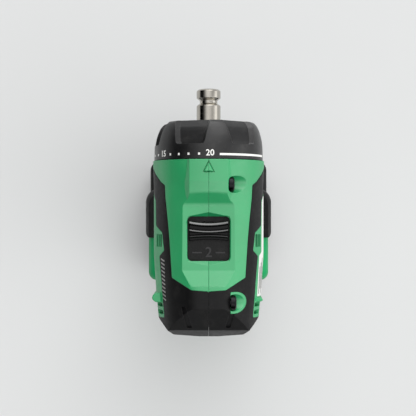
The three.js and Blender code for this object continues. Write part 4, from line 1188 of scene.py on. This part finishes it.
def bumper_body():
    def around(grow, z):
        return at_height(rounded(-35.2 - grow, 35.2 + grow, -60, 12.2 + grow, 9, 16), z)

    levels = [
        (1.6, 47), (2.1, 47.5), (2.5, 48.4), (2.8, 49.8), (2.8, 56), (2.6, 57.6), (2.1, 59.3), (1.4, 61),
        (0.6, 62.5)
    ]
    band = skin("bumper", [around(g, z) for g, z in levels])
    cut(band, foot(-0.2))
    flank = [(39, -10), (38.1, -10.8), (37.9, -12.2), (37.4, -13.6), (36.4, -14.8), (35.5, -15)]
    ends = [(-60, -70), (60, -70), (60, -10), *flank, *[(-x, y) for x, y in flank[::-1]], (-60, -10)]
    cut(band, prism(ends, "z", 40, 80), box(-19.8, 19.8, 0, 40, 40, 55.6))
    return bevel(band, 0.5, 3, 55)


def pack_ring(inset, z, per=14):
    r = 6 - inset * 0.4
    return at_height(rounded(-36 + inset, 36 - inset, -41 + inset, 32 - inset, r, per), z)


def lower_case():
    outer = skin("lower", [pack_ring(1.9, 0), pack_ring(
        1.0, 0.35
    ), pack_ring(0.45, 1.0), pack_ring(0.1, 1.9), pack_ring(0, 2.6), pack_ring(0, 23.2),
                           pack_ring(0.35, 23.8), pack_ring(0.6, 23.95)])
    inner = skin("inner", [pack_ring(2.2, 2.2), pack_ring(2.2, 25)])
    return cut(outer, inner)


def latch_window(sign):
    return box(*sorted((sign * 30, sign * 42)), -14, 6, 29.6, 40)


def upper_case():
    outer = skin("upper", [pack_ring(0.6, 24.3), pack_ring(0.3, 24.5), pack_ring(
        0, 25.1
    ), pack_ring(0, 41.6), pack_ring(0.25, 42.6), pack_ring(0.8, 43.5), pack_ring(1.6, 44.15),
                           pack_ring(2.2, 44.2)])
    join(outer, box(-16.4, 16.4, -20, 13.5, 43, 48.1), bevel(box(-19, 19, -20, 13.5, 48, 54.8), 0.6, 3))
    inner = skin("inner", [pack_ring(2.2, 23), pack_ring(2.2, 42)])
    slots = [box(x - 1, x + 1, -22, -12, 49, 54) for x in (-10, 0, 10)]
    return cut(outer, inner, *slots, latch_window(-1), latch_window(1))


def latch_body(sign):
    button = bevel(box(33, 37.6, -13.7, 5.7, 29.9, 39.7), 1.0, 4)
    for k in range(5):
        y = -10.0 + 3.0 * k
        cut(button, prism(
            soften([(36.9, y - 0.7), (39, y - 0.9), (39, y + 0.9), (36.9, y + 0.7)], 0.4), "z", 31.2, 38.4
        ))
    join(button, box(31.4, 33.4, -15.4, 7.4, 29, 41))
    return button if sign > 0 else mirrored(button)


finish_piece(bumper_body(), "drill_body", RUBBER, "black_rubber", "foot_bumper", angle=32).name = "foot_guard"
finish_piece(
    lower_case(), "battery", BATTERY, "black_plastic", "battery_lower_case", angle=32
).name = "pack_base"
finish_piece(
    upper_case(), "battery", BATTERY, "black_plastic", "battery_upper_case", angle=32
).name = "pack_cover"
for sign, side in ((-1, "left"), (1, "right")):
    finish_piece(
        latch_body(sign), f"latch_{side}", BLACK, "black_plastic", f"battery_latch_{side}", angle=32
    ).name = f"pack_latch_{side}"

# ---- pieces inside, kept as they are in model.glb

INSIDE = {
    "shift_yoke": DARK_STEEL, "clutch_nut": NYLON, "clutch_spring": GEAR_STEEL, "clutch_washer": GEAR_STEEL,
    "gear_case": CASE_ALLOY,
    "motor_bracket": ALLOY, "shift_ring_gear": GEAR_STEEL, "fixed_ring_gear": GEAR_STEEL,
    "first_carrier": GEAR_STEEL,
    "output_carrier": GEAR_STEEL, "spindle_bearing": GEAR_STEEL, "spindle_clip": GEAR_STEEL, "stator": SHEET,
    "winding": COPPER,
    "rotor": SHEET, "motor_shaft": GEAR_STEEL, "fan": BLACK, "rear_bearing": GEAR_STEEL,
    "front_bearing": GEAR_STEEL,
    "sensor_board": BOARD, "switch_body": BLACK, "control_board": BOARD, "terminal_block": BLACK,
    "led_board": BOARD,
    "battery_board": BOARD,
}
INSIDE.update({f"{stage}_planet_{k}": GEAR_STEEL for stage in ("first", "second") for k in (1, 2, 3)})
INSIDE.update({f"battery_cell_{k}": CELL for k in (1, 2, 3)})
for node, material in INSIDE.items():
    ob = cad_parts[node]
    ob.data.materials.clear()
    ob.data.materials.append(material)
    step = ob.modifiers.new("edge", "BEVEL")
    step.width, step.segments, step.limit_method, step.angle_limit = 0.15 * MM, 2, "ANGLE", math.radians(40)

# ---- floor, light and camera


FLOOR_HALF = 12000


def floor_piece():
    ground = box(-FLOOR_HALF, FLOOR_HALF, -FLOOR_HALF, FLOOR_HALF, -20, 0, "floor")
    n = Nodes("floor_paper")
    tone = n.mix(n.noise(180, 3), srgb(209, 210, 210), srgb(214, 215, 215))
    n.link(tone, n.shader.inputs["Base Color"])
    n.link(n.remap(n.noise(2.0, 3), 0.3, 0.7, 0.7, 0.8), n.shader.inputs["Roughness"])
    n.link(n.bump(n.noise(0.9, 3), 0.05, 0.05), n.shader.inputs["Normal"])
    ground.data.materials.append(n.material)


CAMERA_AT = (-0.0003, 0.0028, 0.663)  # metres
FOCAL_LENGTH, SENSOR_WIDTH = 86.54, 36


def camera():
    lens = bpy.data.cameras.new("camera")
    lens.sensor_width, lens.lens = SENSOR_WIDTH, FOCAL_LENGTH
    lens.clip_start, lens.clip_end = 0.01, 20
    holder = bpy.data.objects.new("camera", lens)
    holder.location = CAMERA_AT
    bpy.context.scene.collection.objects.link(holder)
    bpy.context.scene.camera = holder


STUDIO_LIGHTS = {
    # elevation and azimuth from +X of each broad soft light, in degrees, and its strength
    "front, low": (12, 90, 4.5),
    "front right": (38, 65, 3.0),
    "right, low": (12, 0, 2.0),
    "right, to the rear": (38, 335, 2.0),
    "rear right, low": (12, 315, 0.7),
    "overhead front right": (64, 60, 0.9),
    "overhead front left": (64, 120, 1.4),
    "overhead rear left": (64, 240, 1.2),
    "overhead rear right": (64, 300, 1.8),
}
LIGHT_FOCUS = 14  # the higher, the narrower each light


def studio():
    """A dim room with broad soft lights round the object, brightest to the front and the right."""
    world = bpy.data.worlds.new("studio")
    bpy.context.scene.world = world
    world.use_nodes = True
    tree = world.node_tree
    where = tree.nodes.new("ShaderNodeTexCoord").outputs["Generated"]
    total = tree.nodes.new("ShaderNodeValue").outputs[0]
    total.default_value = 0
    for elevation, azimuth, strength in STUDIO_LIGHTS.values():
        e, a = math.radians(elevation), math.radians(azimuth)
        facing = tree.nodes.new("ShaderNodeVectorMath")
        facing.operation = "DOT_PRODUCT"
        facing.inputs[1].default_value = (math.cos(e) * math.cos(a), math.cos(e) * math.sin(a), math.sin(e))
        tree.links.new(where, facing.inputs[0])
        lobe = facing.outputs["Value"]
        for how, value, extra in (
            ("MAXIMUM", 0, None), ("POWER", LIGHT_FOCUS, None), ("MULTIPLY_ADD", strength, total)
        ):
            step = tree.nodes.new("ShaderNodeMath")
            step.operation = how
            tree.links.new(lobe, step.inputs[0])
            step.inputs[1].default_value = value
            if extra:
                tree.links.new(extra, step.inputs[2])
            lobe = step.outputs[0]
        total = lobe
    tree.links.new(total, tree.nodes["Background"].inputs["Strength"])
    tree.nodes["Background"].inputs["Color"].default_value = (1, 1, 1, 1)


floor_piece()
studio()
bpy.context.scene.view_settings.view_transform = "Standard"
camera()
